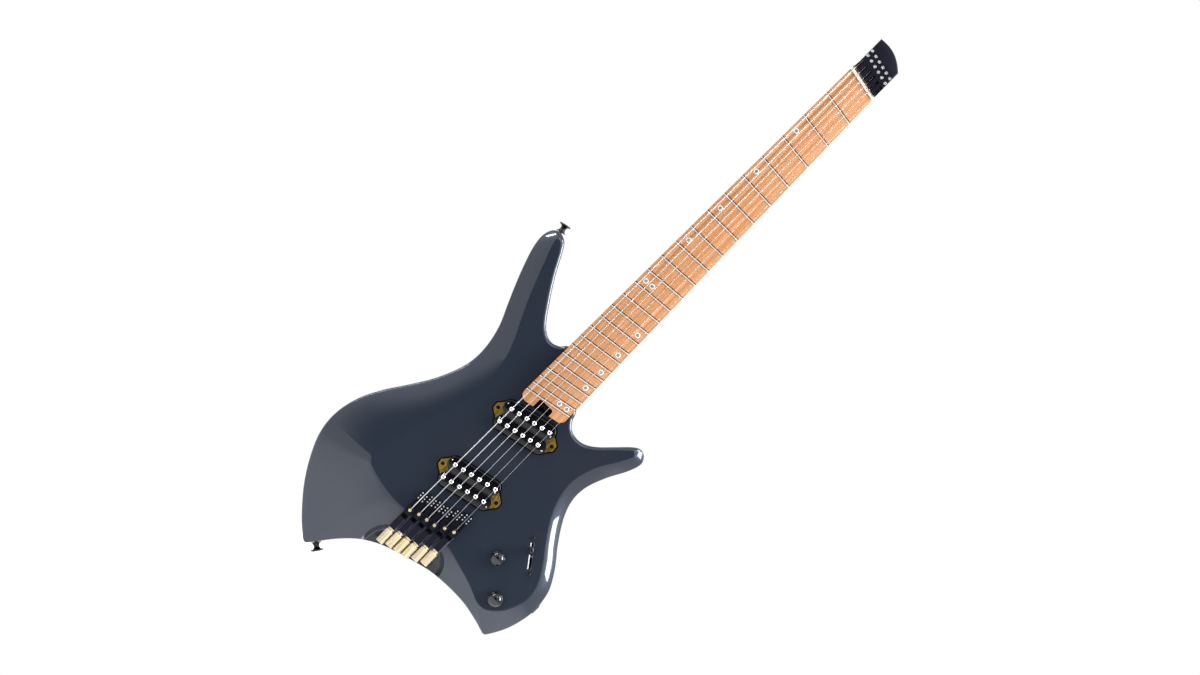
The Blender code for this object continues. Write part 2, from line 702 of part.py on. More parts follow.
def make_body():
    body = body_slab()
    above = BODY_THICKNESS + OVERCUT
    cut(body, prism(pocket_outline(GAP), NECK_TOP - HEEL_DEPTH - GAP, above))

    pack_width = COIL_SPACING + COIL_WIDTH
    for x, z, slant, plate_slant in PICKUPS.values():
        coils = coil_outline(PICKUP_CAVITY_CLEARANCE, pack_width)
        plate = plate_outline(PICKUP_CAVITY_CLEARANCE)
        cut(body,
            prism(turned_plan(coils, x, z, slant), PICKUP_CAVITY_FLOOR, above),
            prism(turned_plan(plate, x, z, plate_slant), PICKUP_CAVITY_FLOOR, above))

    rim = rounded(SCOOP_RIM)
    top_rim = grown(rim, SCOOP_WALL_RUN * (above - BODY_THICKNESS) / (BODY_THICKNESS - SCOOP_FLOOR))
    floor_rim = grown(rim, -SCOOP_WALL_RUN)
    cut(body, loft([[at(px, pz, SCOOP_FLOOR) for px, pz in floor_rim],
                    [at(px, pz, above) for px, pz in top_rim]]))

    cavity = control_cavity()
    cut(body,
        prism(cavity, -OVERCUT, CAVITY_CEILING),
        prism(grown(cavity, COVER_LIP), -OVERCUT, COVER_THICKNESS + GAP))
    hole = SHAFT_RADIUS + SHAFT_CLEARANCE + BUSHING_WALL + GAP
    for place in CONTROL_KNOBS.values():
        cut(body, turned([(hole, 0), (hole, CONTROL_WALL + 2 * OVERCUT)],
                         at(*on_plan(*place), CAVITY_CEILING - OVERCUT), (0, -1, 0)))
    cut(body, prism(along_slot(SLOT_LENGTH, SLOT_WIDTH), CAVITY_CEILING - OVERCUT, above))

    jack_x, jack_z = on_plan(*JACK_PLACE)
    mouth = at(jack_x + OVERCUT, jack_z, JACK_HEIGHT)
    seat = JACK_FLANGE_RADIUS + BOLT_CLEARANCE
    cut(body,
        turned([(seat, 0), (seat, OVERCUT + JACK_FLANGE + GAP)], mouth, (-1, 0, 0)),
        turned([(JACK_BARREL_RADIUS + GAP, 0), (JACK_BARREL_RADIUS + GAP, JACK_BARREL_LENGTH)],
               mouth, (-1, 0, 0)))
    hole = STRAP_SCREW_RADIUS + SHAFT_CLEARANCE
    for u, v, ax, az, height in STRAP_BUTTONS.values():
        cut(body, turned([(hole, -STRAP_SCREW_LENGTH - GAP), (hole, OVERCUT)],
                         at(*on_plan(u, v), height), (ax, 0, az), 12))

    plate = grown(rounded(NECK_PLATE), GAP)
    cut(body, prism(plate, -OVERCUT, NECK_PLATE_THICKNESS + GAP))
    hole = NECK_BOLT_RADIUS + BOLT_CLEARANCE
    cut(body, group([turned([(hole, -NECK_PLATE_THICKNESS), (hole, NECK_TOP - HEEL_DEPTH)],
                            at(x, z, 0), (0, -1, 0), 12) for x, z in NECK_BOLTS]))
    return piece(body, "body", "graphite_lacquer")


def head_outline(inset=0.0):
    """The plan of the head block: its slanted lower side, straight sides and curved end."""
    low, high = HEAD_X - HEAD_HALF_WIDTH, HEAD_X + HEAD_HALF_WIDTH
    outline = [(low, head_start(low)), (high, head_start(high)),
               (high, NUT_CENTRE_Z + HEAD_END[1]), *[(x, NUT_CENTRE_Z + rise) for x, rise in HEAD_CURVE],
               (low, NUT_CENTRE_Z + HEAD_END[0])]
    return grown(outline, -inset)


def head_start(x):
    """Where the head block begins, behind the nut and a strip of board."""
    low, high = HEAD_X - HEAD_HALF_WIDTH, HEAD_X + HEAD_HALF_WIDTH
    return NUT_CENTRE_Z + line_z(((low, HEAD_START[0]), (high, HEAD_START[1])), x)


def make_neck():
    """Lofted from half round sections; the heel is a nearly square block."""
    far_end = NUT_CENTRE_Z + HEAD_END[0] + OVERCUT
    near_end = BOARD_END_Z - BOARD_END_WIDTH
    heel_end, slim = HEEL_END_Z, HEEL_END_Z + HEEL_BLEND
    stations = [near_end, heel_end]
    stations += [heel_end + HEEL_BLEND * share for share in (0.2, 0.4, 0.6, 0.8)]
    stations += list(np.linspace(slim, NUT_CENTRE_Z, 6)) + [NUT_CENTRE_Z + HEAD_START[0], far_end]
    rings = []
    for z in stations:
        blend = min(max((z - heel_end) / HEEL_BLEND, 0), 1)
        blend = blend * blend * (3 - 2 * blend)
        along = min(max((z - slim) / (NUT_CENTRE_Z - slim), 0), 1)
        slim_depth = NECK_DEPTH_AT_HEEL + along * (NECK_DEPTH_AT_NUT - NECK_DEPTH_AT_HEEL)
        depth = HEEL_DEPTH + blend * (slim_depth - HEEL_DEPTH)
        power = 2 / (14 - 11.6 * blend)
        middle, half = (HEAD_X, HEAD_HALF_WIDTH - GAP) if z > NUT_LOW_Z else (0, board_half_width(z))
        ring = []
        for i in range(NECK_SIDES + 1):
            turn = math.pi * i / NECK_SIDES
            side = math.copysign(abs(math.cos(turn)) ** power, math.cos(turn))
            ring.append(at(middle - half * side, z, NECK_TOP - depth * math.sin(turn) ** power))
        rings.append(ring)
    neck = loft(rings)

    low, high = NECK_TOP - HEEL_DEPTH - OVERCUT, NECK_TOP + OVERCUT
    wide, past = BOARD_END_WIDTH, near_end - OVERCUT
    heel = pocket_outline(0)[:-2]
    heel = [(-wide, past), (-wide, heel[0][1]), *heel, (wide, heel[-1][1]), (wide, past)]
    crown, past = head_outline(GAP)[2:], far_end + OVERCUT
    crown = [(wide, past), (wide, crown[0][1]), *crown, (-wide, crown[-1][1]), (-wide, past)]
    cut(neck, prism(heel, low, high), prism(notch_outline(), low, high), prism(crown, low, high))

    rod_half = TRUSS_ROD_RADIUS + SHAFT_CLEARANCE
    cut(neck, box(NOTCH_X - rod_half, NOTCH_X + rod_half, BOARD_END_Z, TRUSS_ROD_END_Z + GAP,
                  TRUSS_HEIGHT - rod_half, high))
    hole = NECK_BOLT_RADIUS + BOLT_CLEARANCE
    reach = NECK_BOLT_REACH + GAP
    cut(neck, group([turned([(hole, -OVERCUT), (hole, reach)],
                            at(x, z, NECK_TOP - HEEL_DEPTH), (0, -1, 0), 12) for x, z in NECK_BOLTS]))
    return piece(neck, "neck", "roasted_maple")


def notch_outline():
    """The notch in the end of the board and heel that frees the truss rod wheel."""
    left, right = NOTCH_X - NOTCH_WIDTH / 2, NOTCH_X + NOTCH_WIDTH / 2
    top = BOARD_END_Z + NOTCH_DEPTH
    below = BOARD_END_Z - BOARD_END_WIDTH
    return rounded([(left, below, 0), (right, below, 0), (right, top, NOTCH_RADIUS), (left, top, NOTCH_RADIUS)])


def make_fingerboard():
    arc = pocket_outline(0)[:-2]
    (low_x, _), (high_x, _) = NUT_LINE
    outline = [*arc, (high_x, head_start(high_x) - GAP), (low_x, head_start(low_x) - GAP)]
    board = prism(outline, BOARD_BOTTOM, BOARD_TOP)
    cut(board, prism(notch_outline(), BOARD_BOTTOM - OVERCUT, BOARD_TOP + OVERCUT))

    wide = BOARD_END_WIDTH
    curve = [(x, BOARD_TOP - camber(x)) for x in np.linspace(-wide, wide, 17)]
    section = [(-wide, BOARD_TOP + OVERCUT), *curve, (wide, BOARD_TOP + OVERCUT)]
    cut(board, loft([[at(x, z, height) for x, height in section]
                     for z in (BOARD_END_Z - wide, NUT_LOW_Z + wide)]))

    seat = BOARD_TOP - NUT_SEAT
    plan = []
    for x, offset in ((-wide, -GAP), (wide, -GAP), (wide, NUT_THICKNESS + GAP), (-wide, NUT_THICKNESS + GAP)):
        plan.append((x, line_z(NUT_LINE, x) + offset))
    cut(board, prism(plan, seat - GAP, BOARD_TOP + OVERCUT))

    profile = [(-0.5, -FRET_TANG), (-0.5, 0), (-0.25, 0.86 * FRET_HEIGHT),
               (0.25, 0.86 * FRET_HEIGHT), (0.5, 0), (0.5, -FRET_TANG)]
    frets = []
    for number in range(1, FRET_COUNT + 1):
        (x0, z0), (x1, z1) = slanted_line(fret_fraction(number))
        rings = []
        for x in np.linspace(x0 + FRET_END_INSET, x1 - FRET_END_INSET, FRET_SPANS + 1):
            z = line_z(((x0, z0), (x1, z1)), x)
            base = BOARD_TOP - camber(x)
            rings.append([at(x, z + share * FRET_WIDTH, base + rise) for share, rise in profile])
        frets.append(loft(rings))
    join(board, group(frets))
    return piece(board, "fingerboard", "roasted_board")


def make_nut():
    (low_x, _), (high_x, _) = NUT_LINE
    top = BOARD_TOP + NUT_RISE
    section = [(high_x, BOARD_TOP - NUT_SEAT), (high_x, top - camber(high_x))]
    for index in reversed(range(STRING_COUNT)):
        x = nut_x(index)
        floor = STRING_HEIGHT_AT_NUT - camber(x) - STRING_GAUGES[index] / 2 - GAP
        rim = top - camber(x)
        section += [(x + NUT_NOTCH / 2, rim), (x + NUT_NOTCH / 4, floor),
                    (x - NUT_NOTCH / 4, floor), (x - NUT_NOTCH / 2, rim)]
    section += [(low_x, top - camber(low_x)), (low_x, BOARD_TOP - NUT_SEAT)]
    rings = []
    for depth in (0, NUT_THICKNESS):
        rings.append([at(x, line_z(NUT_LINE, x) + depth, height) for x, height in section])
    return piece(loft(rings), "nut", "bone")


def row_place(index, row):
    """The place of a head block screw on this string, a distance past the block's lower side."""
    x = string_x(index, head_start(nut_x(index)) + row)
    return x, head_start(x) + row


def make_head_block():
    bottom = NECK_TOP + GAP
    top = bottom + HEAD_HEIGHT
    block = prism(head_outline(), bottom, top)
    floor = bottom + GROOVE_FLOOR
    grooves, tunnels, holes, seats, studs = [], [], [], [], []
    for index in range(STRING_COUNT):
        x, clamp_z = row_place(index, CLAMP_ROW)
        start = head_start(x) - OVERCUT
        half = GROOVE_WIDTH / 2
        grooves.append(box(x - half, x + half, start, head_start(x) + GROOVE_LENGTH, floor, top + OVERCUT))
        half = TUNNEL_WIDTH / 2
        end = clamp_z + LOCK_HEAD_RADIUS
        tunnels.append(box(x - half, x + half, start, end, floor, floor + TUNNEL_HEIGHT))
        screw = at(x, clamp_z, 0)
        radius = LOCK_SHANK_RADIUS + SHAFT_CLEARANCE
        holes.append(turned([(radius, floor + GAP), (radius, top + OVERCUT)], screw, (0, -1, 0), 12))
        radius = LOCK_HEAD_RADIUS + SHAFT_CLEARANCE
        seats.append(turned([(radius, top - LOCK_HEAD_HEIGHT), (radius, top + OVERCUT)], screw, (0, -1, 0), 12))
        x, fix_z = row_place(index, FIXING_ROW)
        studs.append(turned([(LOCK_HEAD_RADIUS, top - OVERCUT / 2), (LOCK_HEAD_RADIUS, top + FIXING_PROUD)],
                            at(x, fix_z, 0), (0, -1, 0), 12))
    cut(block, group(grooves))
    cut(block, group(tunnels))
    cut(block, group(holes))
    cut(block, group(seats))
    join(block, group(studs))
    piece(block, "head_block", "black_alloy")


def make_lock_screw(index):
    """The screw that clamps one string in the head block, with a six-sided socket."""
    x, z = row_place(index, CLAMP_ROW)
    tip = STRING_HEIGHT_IN_HEAD + STRING_GAUGES[index] / 2 + GAP
    shoulder = NECK_TOP + GAP + HEAD_HEIGHT - LOCK_HEAD_HEIGHT + GAP
    top = shoulder + LOCK_HEAD_HEIGHT
    profile = [(LOCK_SHANK_RADIUS, tip), (LOCK_SHANK_RADIUS, shoulder),
               (LOCK_HEAD_RADIUS, shoulder), (LOCK_HEAD_RADIUS, top),
               (LOCK_SOCKET_RADIUS, top), (LOCK_SOCKET_RADIUS, top - LOCK_SOCKET_DEPTH)]
    flats = LOCK_SOCKET_RADIUS * (1 - math.cos(math.pi / 6))
    screw = turned(profile, at(x, z, 0), (0, -1, 0), 12, [0, 0, 0, 0, flats, flats])
    piece(screw, f"string_lock_screw_{index + 1}", "bright_steel", at(x, z, top))


def make_string(index):
    """One string as a round tube that ends in its ball."""
    radius = STRING_GAUGES[index] / 2
    x = nut_x(index)
    nut_z = line_z(NUT_LINE, x)
    _, clamp_z = row_place(index, CLAMP_ROW)
    ball_z = unit_front(index) - BALL_Z
    contact = saddle_z(index)
    fall = camber(unit_x(index))
    ball_height = STRING_HEIGHT_AT_BALL
    stations = [
        (clamp_z + LOCK_SHANK_RADIUS / 2, STRING_HEIGHT_IN_HEAD, radius),
        (head_start(x), STRING_HEIGHT_IN_HEAD + GAP, radius),
        (nut_z + NUT_THICKNESS / 2, STRING_HEIGHT_AT_NUT - camber(x), radius),
        (contact, STRING_HEIGHT_AT_SADDLE - fall, radius),
        (ball_z + BALL_LENGTH / 2, ball_height, radius),
        (ball_z + BALL_LENGTH / 2, ball_height, BALL_RADIUS),
        (ball_z - BALL_LENGTH / 2, ball_height, BALL_RADIUS),
    ]
    rings = []
    for z, height, ring_radius in stations:
        centre_x = string_x(index, z)
        ring = []
        for i in range(STRING_SIDES):
            turn = 2 * math.pi * i / STRING_SIDES
            ring.append(at(centre_x + ring_radius * math.cos(turn), z, height + ring_radius * math.sin(turn)))
        rings.append(ring)
    return piece(loft(rings), f"string_{index + 1}", "bright_steel")


def make_bridge_base(index):
    """The rail of one string: an open channel with a solid block behind it, bored for the tuning rod."""
    x, front = unit_x(index), unit_front(index)
    half, inside = UNIT_WIDTH / 2, UNIT_WIDTH / 2 - UNIT_WALL
    rear, channel_end = front - UNIT_LENGTH, front - CHANNEL_LENGTH
    floor = FLOOR_OF_UNIT
    ahead, above = front + OVERCUT, floor + UNIT_BLOCK_TOP + OVERCUT
    bore = ROD_RADIUS + SHAFT_CLEARANCE
    base = box(x - half, x + half, rear, front, floor, floor + UNIT_BLOCK_TOP)
    cut(base,
        box(x - inside, x + inside, channel_end, ahead, floor + UNIT_FLOOR, above),
        box(x - UNIT_WIDTH, x + UNIT_WIDTH, channel_end, ahead, floor + UNIT_WALL_TOP, above),
        box(x - UNIT_WIDTH, x + UNIT_WIDTH, front - SADDLE_BAY, ahead, floor + SADDLE_BAY_WALL_TOP, above),
        turned([(bore, -OVERCUT), (bore, UNIT_LENGTH - CHANNEL_LENGTH + OVERCUT)],
               at(x, rear, ROD_HEIGHT), (0, 0, 1), 12))
    piece(base, f"bridge_base_{index + 1}", "black_alloy")


def make_saddle(index):
    """A tongue in the channel, a plate over the walls and a ridge that carries the string."""
    x, contact = unit_x(index), saddle_z(index)
    start = unit_front(index) - SADDLE_FRONT
    end = start - SADDLE_LENGTH
    tongue, head = SLIDER_WIDTH / 2, SADDLE_HEAD_WIDTH / 2
    low = FLOOR_OF_UNIT + SADDLE_BAY_WALL_TOP + GAP
    high = low + SADDLE_HEAD_HEIGHT
    crown = STRING_HEIGHT_AT_SADDLE - camber(x) - STRING_GAUGES[index] / 2 - GAP
    flat, run = SADDLE_CROWN_FLAT / 2, SADDLE_CROWN_RUN
    ridge = [(contact + run, high - GAP), (contact + flat, crown),
             (contact - flat, crown), (contact - run, high - GAP)]
    saddle = box(x - tongue, x + tongue, end + GAP, start - GAP, SLIDER_FLOOR, low + GAP)
    join(saddle,
         box(x - head, x + head, end, start, low, high),
         loft([[at(x + side * SADDLE_CROWN_WIDTH / 2, z, height) for z, height in ridge] for side in (-1, 1)]))
    studs = []
    for side in (-1, 1):
        for back in SADDLE_SCREWS:
            studs.append(turned([(SADDLE_SCREW_RADIUS, (low + high) / 2),
                                 (SADDLE_SCREW_RADIUS, high + SADDLE_SCREW_PROUD)],
                                at(x + side * SADDLE_SCREW_X, unit_front(index) - back, 0), (0, -1, 0), 8))
    join(saddle, group(studs))
    piece(saddle, f"saddle_{index + 1}", "black_alloy", at(x, contact, low))


def make_carriage(index):
    """The block that pulls the string: a pocket for its ball, a slot ahead and a bore for the rod."""
    x, ball_z = unit_x(index), unit_front(index) - BALL_Z
    start = unit_front(index) - CARRIAGE_START
    end = start - CARRIAGE_LENGTH
    half = SLIDER_WIDTH / 2
    top = FLOOR_OF_UNIT + CARRIAGE_TOP
    above = top + OVERCUT
    pocket, pocket_length = BALL_RADIUS + GAP, BALL_LENGTH / 2 + GAP
    pocket_floor = STRING_HEIGHT_AT_BALL - pocket
    slot = STRING_GAUGES[0] / 2 + GAP
    bore = ROD_RADIUS + SHAFT_CLEARANCE
    carriage = box(x - half, x + half, end, start, SLIDER_FLOOR, top)
    cut(carriage,
        box(x - pocket, x + pocket, ball_z - pocket_length, ball_z + pocket_length, pocket_floor, above),
        box(x - slot, x + slot, ball_z, start + OVERCUT, pocket_floor, above),
        turned([(bore, -OVERCUT), (bore, CARRIAGE_LENGTH + OVERCUT)], at(x, end, ROD_HEIGHT), (0, 0, 1), 12))
    piece(carriage, f"string_carriage_{index + 1}", "black_alloy", at(x, end, ROD_HEIGHT))


def make_tuner_knob(index):
    """The tuning knob with its collar, and the rod that reaches into the string carriage."""
    rod = UNIT_LENGTH + TUNER_GAP - (CARRIAGE_START + CARRIAGE_LENGTH - ROD_ENGAGEMENT)
    collar = TUNER_COLLAR_LENGTH
    neck = collar + TUNER_NECK_LENGTH
    end = neck + TUNER_LENGTH
    profile = [(ROD_RADIUS, -rod), (ROD_RADIUS, 0), (TUNER_COLLAR_RADIUS, 0), (TUNER_COLLAR_RADIUS, collar),
               (TUNER_NECK_RADIUS, collar), (TUNER_NECK_RADIUS, neck),
               (TUNER_RADIUS, neck), (TUNER_RADIUS, end - TUNER_CHAMFER), (TUNER_RADIUS - TUNER_CHAMFER, end)]
    flutes = [0, 0, 0, 0, 0, 0, TUNER_FLUTE, TUNER_FLUTE, 0]
    seat = at(unit_x(index), unit_front(index) - UNIT_LENGTH - TUNER_GAP, ROD_HEIGHT)
    knob = turned(profile, seat, (0, 0, -1), 2 * TUNER_FLUTES, flutes)
    piece(knob, f"tuner_knob_{index + 1}", "champagne_alloy", seat)


def make_pickup(name):
    x, z, slant, plate_slant = PICKUPS[name]
    flange = COIL_BOTTOM + COIL_FLANGE
    waist = COIL_TOP - COIL_TOP_FLANGE
    coil = coil_outline()
    winding = grown(coil, -COIL_WINDING_INSET)
    for side, place in ((1, "front"), (-1, "rear")):
        shift = side * COIL_SPACING / 2
        rings = []
        for outline, height in ((coil, COIL_BOTTOM), (coil, flange), (winding, flange),
                                (winding, waist), (coil, waist), (coil, COIL_TOP)):
            moved = [(u, v + shift) for u, v in outline]
            rings.append([at(px, pz, height) for px, pz in turned_plan(moved, x, z, slant)])
        bobbin = loft(rings)
        ends = turned_plan([(-COIL_LENGTH / 2, shift), (COIL_LENGTH / 2, shift)], x, z, slant)
        poles = []
        for index in range(STRING_COUNT):
            pole_z = z
            for _ in range(3):
                pole_z = line_z(ends, string_x(index, pole_z))
            poles.append(turned([(POLE_RADIUS, waist), (POLE_RADIUS, COIL_TOP + POLE_PROUD)],
                                at(string_x(index, pole_z), pole_z, 0), (0, -1, 0), POLE_SIDES))
        join(bobbin, group(poles))
        piece(bobbin, f"{name}_pickup_{place}_coil", "black_plastic")

    plate_low = PLATE_TOP - PLATE_THICKNESS
    plate = prism(turned_plan(plate_outline(), x, z, plate_slant), plate_low, PLATE_TOP)
    reach = PLATE_LENGTH / 2 + EAR_SCREW_INSET
    foot = PICKUP_CAVITY_FLOOR + GAP
    screws = []
    for px, pz in turned_plan([(-reach, 0), (reach, 0)], x, z, plate_slant):
        middle = PLATE_TOP - PLATE_THICKNESS / 2
        screws.append(turned([(EAR_SCREW_RADIUS, foot), (EAR_SCREW_RADIUS, middle),
                              (EAR_SCREW_HEAD_RADIUS, middle),
                              (EAR_SCREW_HEAD_RADIUS, PLATE_TOP + EAR_SCREW_HEAD)],
                             at(px, pz, 0), (0, -1, 0), 10))
    join(plate, group(screws))
    piece(plate, f"{name}_pickup_base_plate", "brass")


def make_control(name):
    x, z = on_plan(*CONTROL_KNOBS[name])
    seat = BODY_THICKNESS + KNOB_SEAT_GAP
    shoulder = CAVITY_CEILING - GAP
    pot_top = shoulder - POT_SHOULDER_RADIUS / 2
    pot_bottom = pot_top - POT_HEIGHT
    shaft_bottom = pot_bottom + POT_FLOOR + GAP
    profile = [(SHAFT_RADIUS, shaft_bottom), (SHAFT_RADIUS, seat), (KNOB_RADIUS, seat),
               (KNOB_RADIUS, seat + KNOB_SKIRT)]
    for degrees in (25, 48, 68, 84):
        turn = math.radians(degrees)
        profile.append((KNOB_RADIUS * math.cos(turn), seat + KNOB_SKIRT + KNOB_DOME * math.sin(turn)))
    foot = at(x, z, 0)
    piece(turned(profile, foot, (0, -1, 0)), f"{name}_knob", "black_chrome", at(x, z, seat))

    bore = SHAFT_RADIUS + SHAFT_CLEARANCE
    bushing = bore + BUSHING_WALL
    bushing_top = BODY_THICKNESS - GAP
    profile = [(POT_RADIUS, pot_bottom), (POT_RADIUS, pot_top), (POT_SHOULDER_RADIUS, pot_top),
               (POT_SHOULDER_RADIUS, shoulder), (bushing, shoulder), (bushing, bushing_top),
               (bore, bushing_top), (bore, pot_bottom + POT_FLOOR)]
    piece(turned(profile, foot, (0, -1, 0), 16), f"{name}_potentiometer", "zinc")


def make_selector_frame():
    """The switch's frame under the top, with a bay that the lever swings in."""
    high = CAVITY_CEILING - GAP
    low = high - SWITCH_FRAME_DEPTH
    frame = prism(along_slot(SWITCH_FRAME_LENGTH, SWITCH_FRAME_WIDTH), low, high)
    cut(frame, prism(along_slot(SWITCH_BAY_LENGTH, LEVER_HUB_WIDTH + 2 * GAP), low - OVERCUT, high + OVERCUT))
    piece(frame, "selector_frame", "zinc")


def along_slot(length, width):
    """A rectangle centred on the switch, with its long side along the slot."""
    return turned_plan([(-length / 2, -width / 2), (length / 2, -width / 2),
                        (length / 2, width / 2), (-length / 2, width / 2)], *on_plan(*SWITCH_PLACE), SWITCH_SLANT)


def lever_point(along, side, up):
    """A point of the leaning lever: along the slot, across it and out from the pivot."""
    lean = math.radians(LEVER_TILT)
    u = along * math.cos(lean) - up * math.sin(lean)
    height = BODY_THICKNESS - LEVER_PIVOT_DEPTH + along * math.sin(lean) + up * math.cos(lean)
    (x, z), = turned_plan([(u, side)], *on_plan(*SWITCH_PLACE), SWITCH_SLANT)
    return at(x, z, height)


def make_selector_lever():
    """A flat blade on a round hub, with a moulded tip that is widest near its foot."""
    tip_foot = LEVER_TIP_START
    inside_tip = tip_foot + 2 / 3 * LEVER_TIP_LENGTH
    half = LEVER_WIDTH / 2
    blade = [(-half, 0), (half, 0), (half, inside_tip), (-half, inside_tip)]
    hub = [(LEVER_HUB_RADIUS * math.cos(math.pi * i / 6), LEVER_HUB_RADIUS * math.sin(math.pi * i / 6))
           for i in range(12)]
    plates = []
    for outline, thickness in ((blade, LEVER_THICKNESS), (hub, LEVER_HUB_WIDTH)):
        plates.append(loft([[lever_point(u, side * thickness / 2, up) for u, up in outline] for side in (-1, 1)]))
    half, thick = LEVER_TIP_BREADTH / 2, LEVER_TIP_WIDTH / 2
    outline = rounded([(u * half, v * thick, 2 / 3 * thick) for u, v in ((-1, -1), (1, -1), (1, 1), (-1, 1))])
    rings = []
    for size, share in ((0.86, 0), (1, 0.2), (0.94, 0.75), (0.66, 1)):
        up = tip_foot + share * LEVER_TIP_LENGTH
        rings.append([lever_point(size * u, size * v, up) for u, v in outline])
    lever = join(*plates, loft(rings))
    piece(lever, "selector_lever", "black_plastic", lever_point(0, 0, 0))


def make_control_cover():
    cover = grown(control_cavity(), COVER_LIP - GAP)
    piece(prism(cover, 0, COVER_THICKNESS), "control_cover", "black_plastic")


def make_neck_plate():
    """The plate in the back and the four bolts that hold the heel."""
    plate = prism(rounded(NECK_PLATE), 0, NECK_PLATE_THICKNESS)
    reach = NECK_TOP - HEEL_DEPTH + NECK_BOLT_REACH
    bolts = [turned([(NECK_BOLT_RADIUS, NECK_PLATE_THICKNESS / 2), (NECK_BOLT_RADIUS, reach)],
                    at(x, z, 0), (0, -1, 0), 12) for x, z in NECK_BOLTS]
    join(plate, group(bolts))
    piece(plate, "neck_plate", "black_alloy")


def make_jack():
    face = at(*on_plan(*JACK_PLACE), JACK_HEIGHT)
    profile = [(JACK_BARREL_RADIUS, JACK_BARREL_LENGTH), (JACK_BARREL_RADIUS, JACK_FLANGE),
               (JACK_FLANGE_RADIUS, JACK_FLANGE), (JACK_FLANGE_RADIUS, 0), (JACK_BORE_RADIUS, 0),
               (JACK_BORE_RADIUS, JACK_BORE_DEPTH)]
    piece(turned(profile, face, (-1, 0, 0), 16), "output_jack", "black_alloy")


def make_strap_button(name):
    u, v, ax, az, height = STRAP_BUTTONS[name]
    foot = STRAP_PROFILE[0][1]
    profile = [(STRAP_SCREW_RADIUS, -STRAP_SCREW_LENGTH), (STRAP_SCREW_RADIUS, foot), *STRAP_PROFILE]
    button = turned(profile, at(*on_plan(u, v), height), (ax, 0, az), 16)
    piece(button, f"strap_button_{name}", "black_alloy")


def make_truss_rod():
    """The rod lies in its channel under the board; its wheel turns in the notch."""
    wheel_end = BOARD_END_Z + NOTCH_DEPTH - GAP * 2
    wheel_start = wheel_end - TRUSS_WHEEL_WIDTH
    stub_end = wheel_end + TRUSS_STUB_LENGTH
    rod = turned([(TRUSS_ROD_RADIUS, stub_end + GAP), (TRUSS_ROD_RADIUS, TRUSS_ROD_END_Z)],
                 at(NOTCH_X, 0, TRUSS_HEIGHT), (0, 0, 1), 8)
    piece(rod, "truss_rod", "zinc")

    outline = []
    for i in range(TRUSS_WHEEL_NOTCHES):
        for share, radius in ((0.0, 0), (0.45, 0), (0.55, 1), (0.9, 1)):
            turn = 2 * math.pi * (i + share) / TRUSS_WHEEL_NOTCHES
            reach = TRUSS_WHEEL_RADIUS - radius * TRUSS_WHEEL_NOTCH_DEPTH
            outline.append((reach * math.cos(turn), reach * math.sin(turn)))
    wheel = loft([[at(NOTCH_X + u, z, TRUSS_HEIGHT + v) for u, v in outline] for z in (wheel_start, wheel_end)])
    stub = turned([(TRUSS_ROD_RADIUS, wheel_end - TRUSS_WHEEL_WIDTH / 2), (TRUSS_ROD_RADIUS, stub_end)],
                  at(NOTCH_X, 0, TRUSS_HEIGHT), (0, 0, 1), 8)
    join(wheel, stub)
    piece(wheel, "truss_rod_wheel", "bright_steel", at(NOTCH_X, wheel_start, TRUSS_HEIGHT))


clear_scene()
make_body()
make_neck()
make_fingerboard()
make_nut()
make_head_block()
for string_index in range(STRING_COUNT):
    make_lock_screw(string_index)
    make_string(string_index)
    make_bridge_base(string_index)
    make_saddle(string_index)
    make_carriage(string_index)
    make_tuner_knob(string_index)
for pickup_name in PICKUPS:
    make_pickup(pickup_name)
for control_name in CONTROL_KNOBS:
    make_control(control_name)
make_selector_frame()
make_selector_lever()
make_control_cover()
make_neck_plate()
make_jack()
for button_name in STRAP_BUTTONS:
    make_strap_button(button_name)
make_truss_rod()
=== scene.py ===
"""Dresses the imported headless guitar: carved lacquered body, roasted maple neck, black and gold fittings.

X runs across the strings, from the lowest string at -X to the highest at +X. Z runs along the neck
towards the head. The front faces -Y and the flat back lies in the plane y = 0, so a height is the
distance from the back towards the front. The pieces are worked out in millimetres, and skin() makes
metres of them. The floor, lamps, flag and camera are in metres.
"""

import math

import bmesh
import bpy
import numpy as np
from mathutils import Matrix, Vector


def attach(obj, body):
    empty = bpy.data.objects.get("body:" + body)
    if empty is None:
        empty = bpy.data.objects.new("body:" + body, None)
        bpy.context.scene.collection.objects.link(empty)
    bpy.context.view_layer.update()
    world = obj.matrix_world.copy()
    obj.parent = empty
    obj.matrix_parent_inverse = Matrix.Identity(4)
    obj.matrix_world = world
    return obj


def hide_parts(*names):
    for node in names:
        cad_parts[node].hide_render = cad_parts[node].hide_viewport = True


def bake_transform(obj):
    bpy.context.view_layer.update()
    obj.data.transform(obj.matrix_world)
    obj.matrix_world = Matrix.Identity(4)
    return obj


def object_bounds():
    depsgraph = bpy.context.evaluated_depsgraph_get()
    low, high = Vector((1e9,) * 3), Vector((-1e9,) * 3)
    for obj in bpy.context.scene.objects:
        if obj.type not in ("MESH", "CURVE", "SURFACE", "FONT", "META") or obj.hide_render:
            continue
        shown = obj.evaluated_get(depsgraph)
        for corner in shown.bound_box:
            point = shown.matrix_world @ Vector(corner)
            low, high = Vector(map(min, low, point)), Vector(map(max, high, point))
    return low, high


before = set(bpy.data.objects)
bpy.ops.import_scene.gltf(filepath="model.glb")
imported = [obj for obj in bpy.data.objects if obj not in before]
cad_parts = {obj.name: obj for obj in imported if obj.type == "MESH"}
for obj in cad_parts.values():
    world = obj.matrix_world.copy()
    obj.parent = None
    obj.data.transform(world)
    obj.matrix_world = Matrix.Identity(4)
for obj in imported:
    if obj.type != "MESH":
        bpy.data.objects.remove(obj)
cad_box = [list(corner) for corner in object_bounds()]

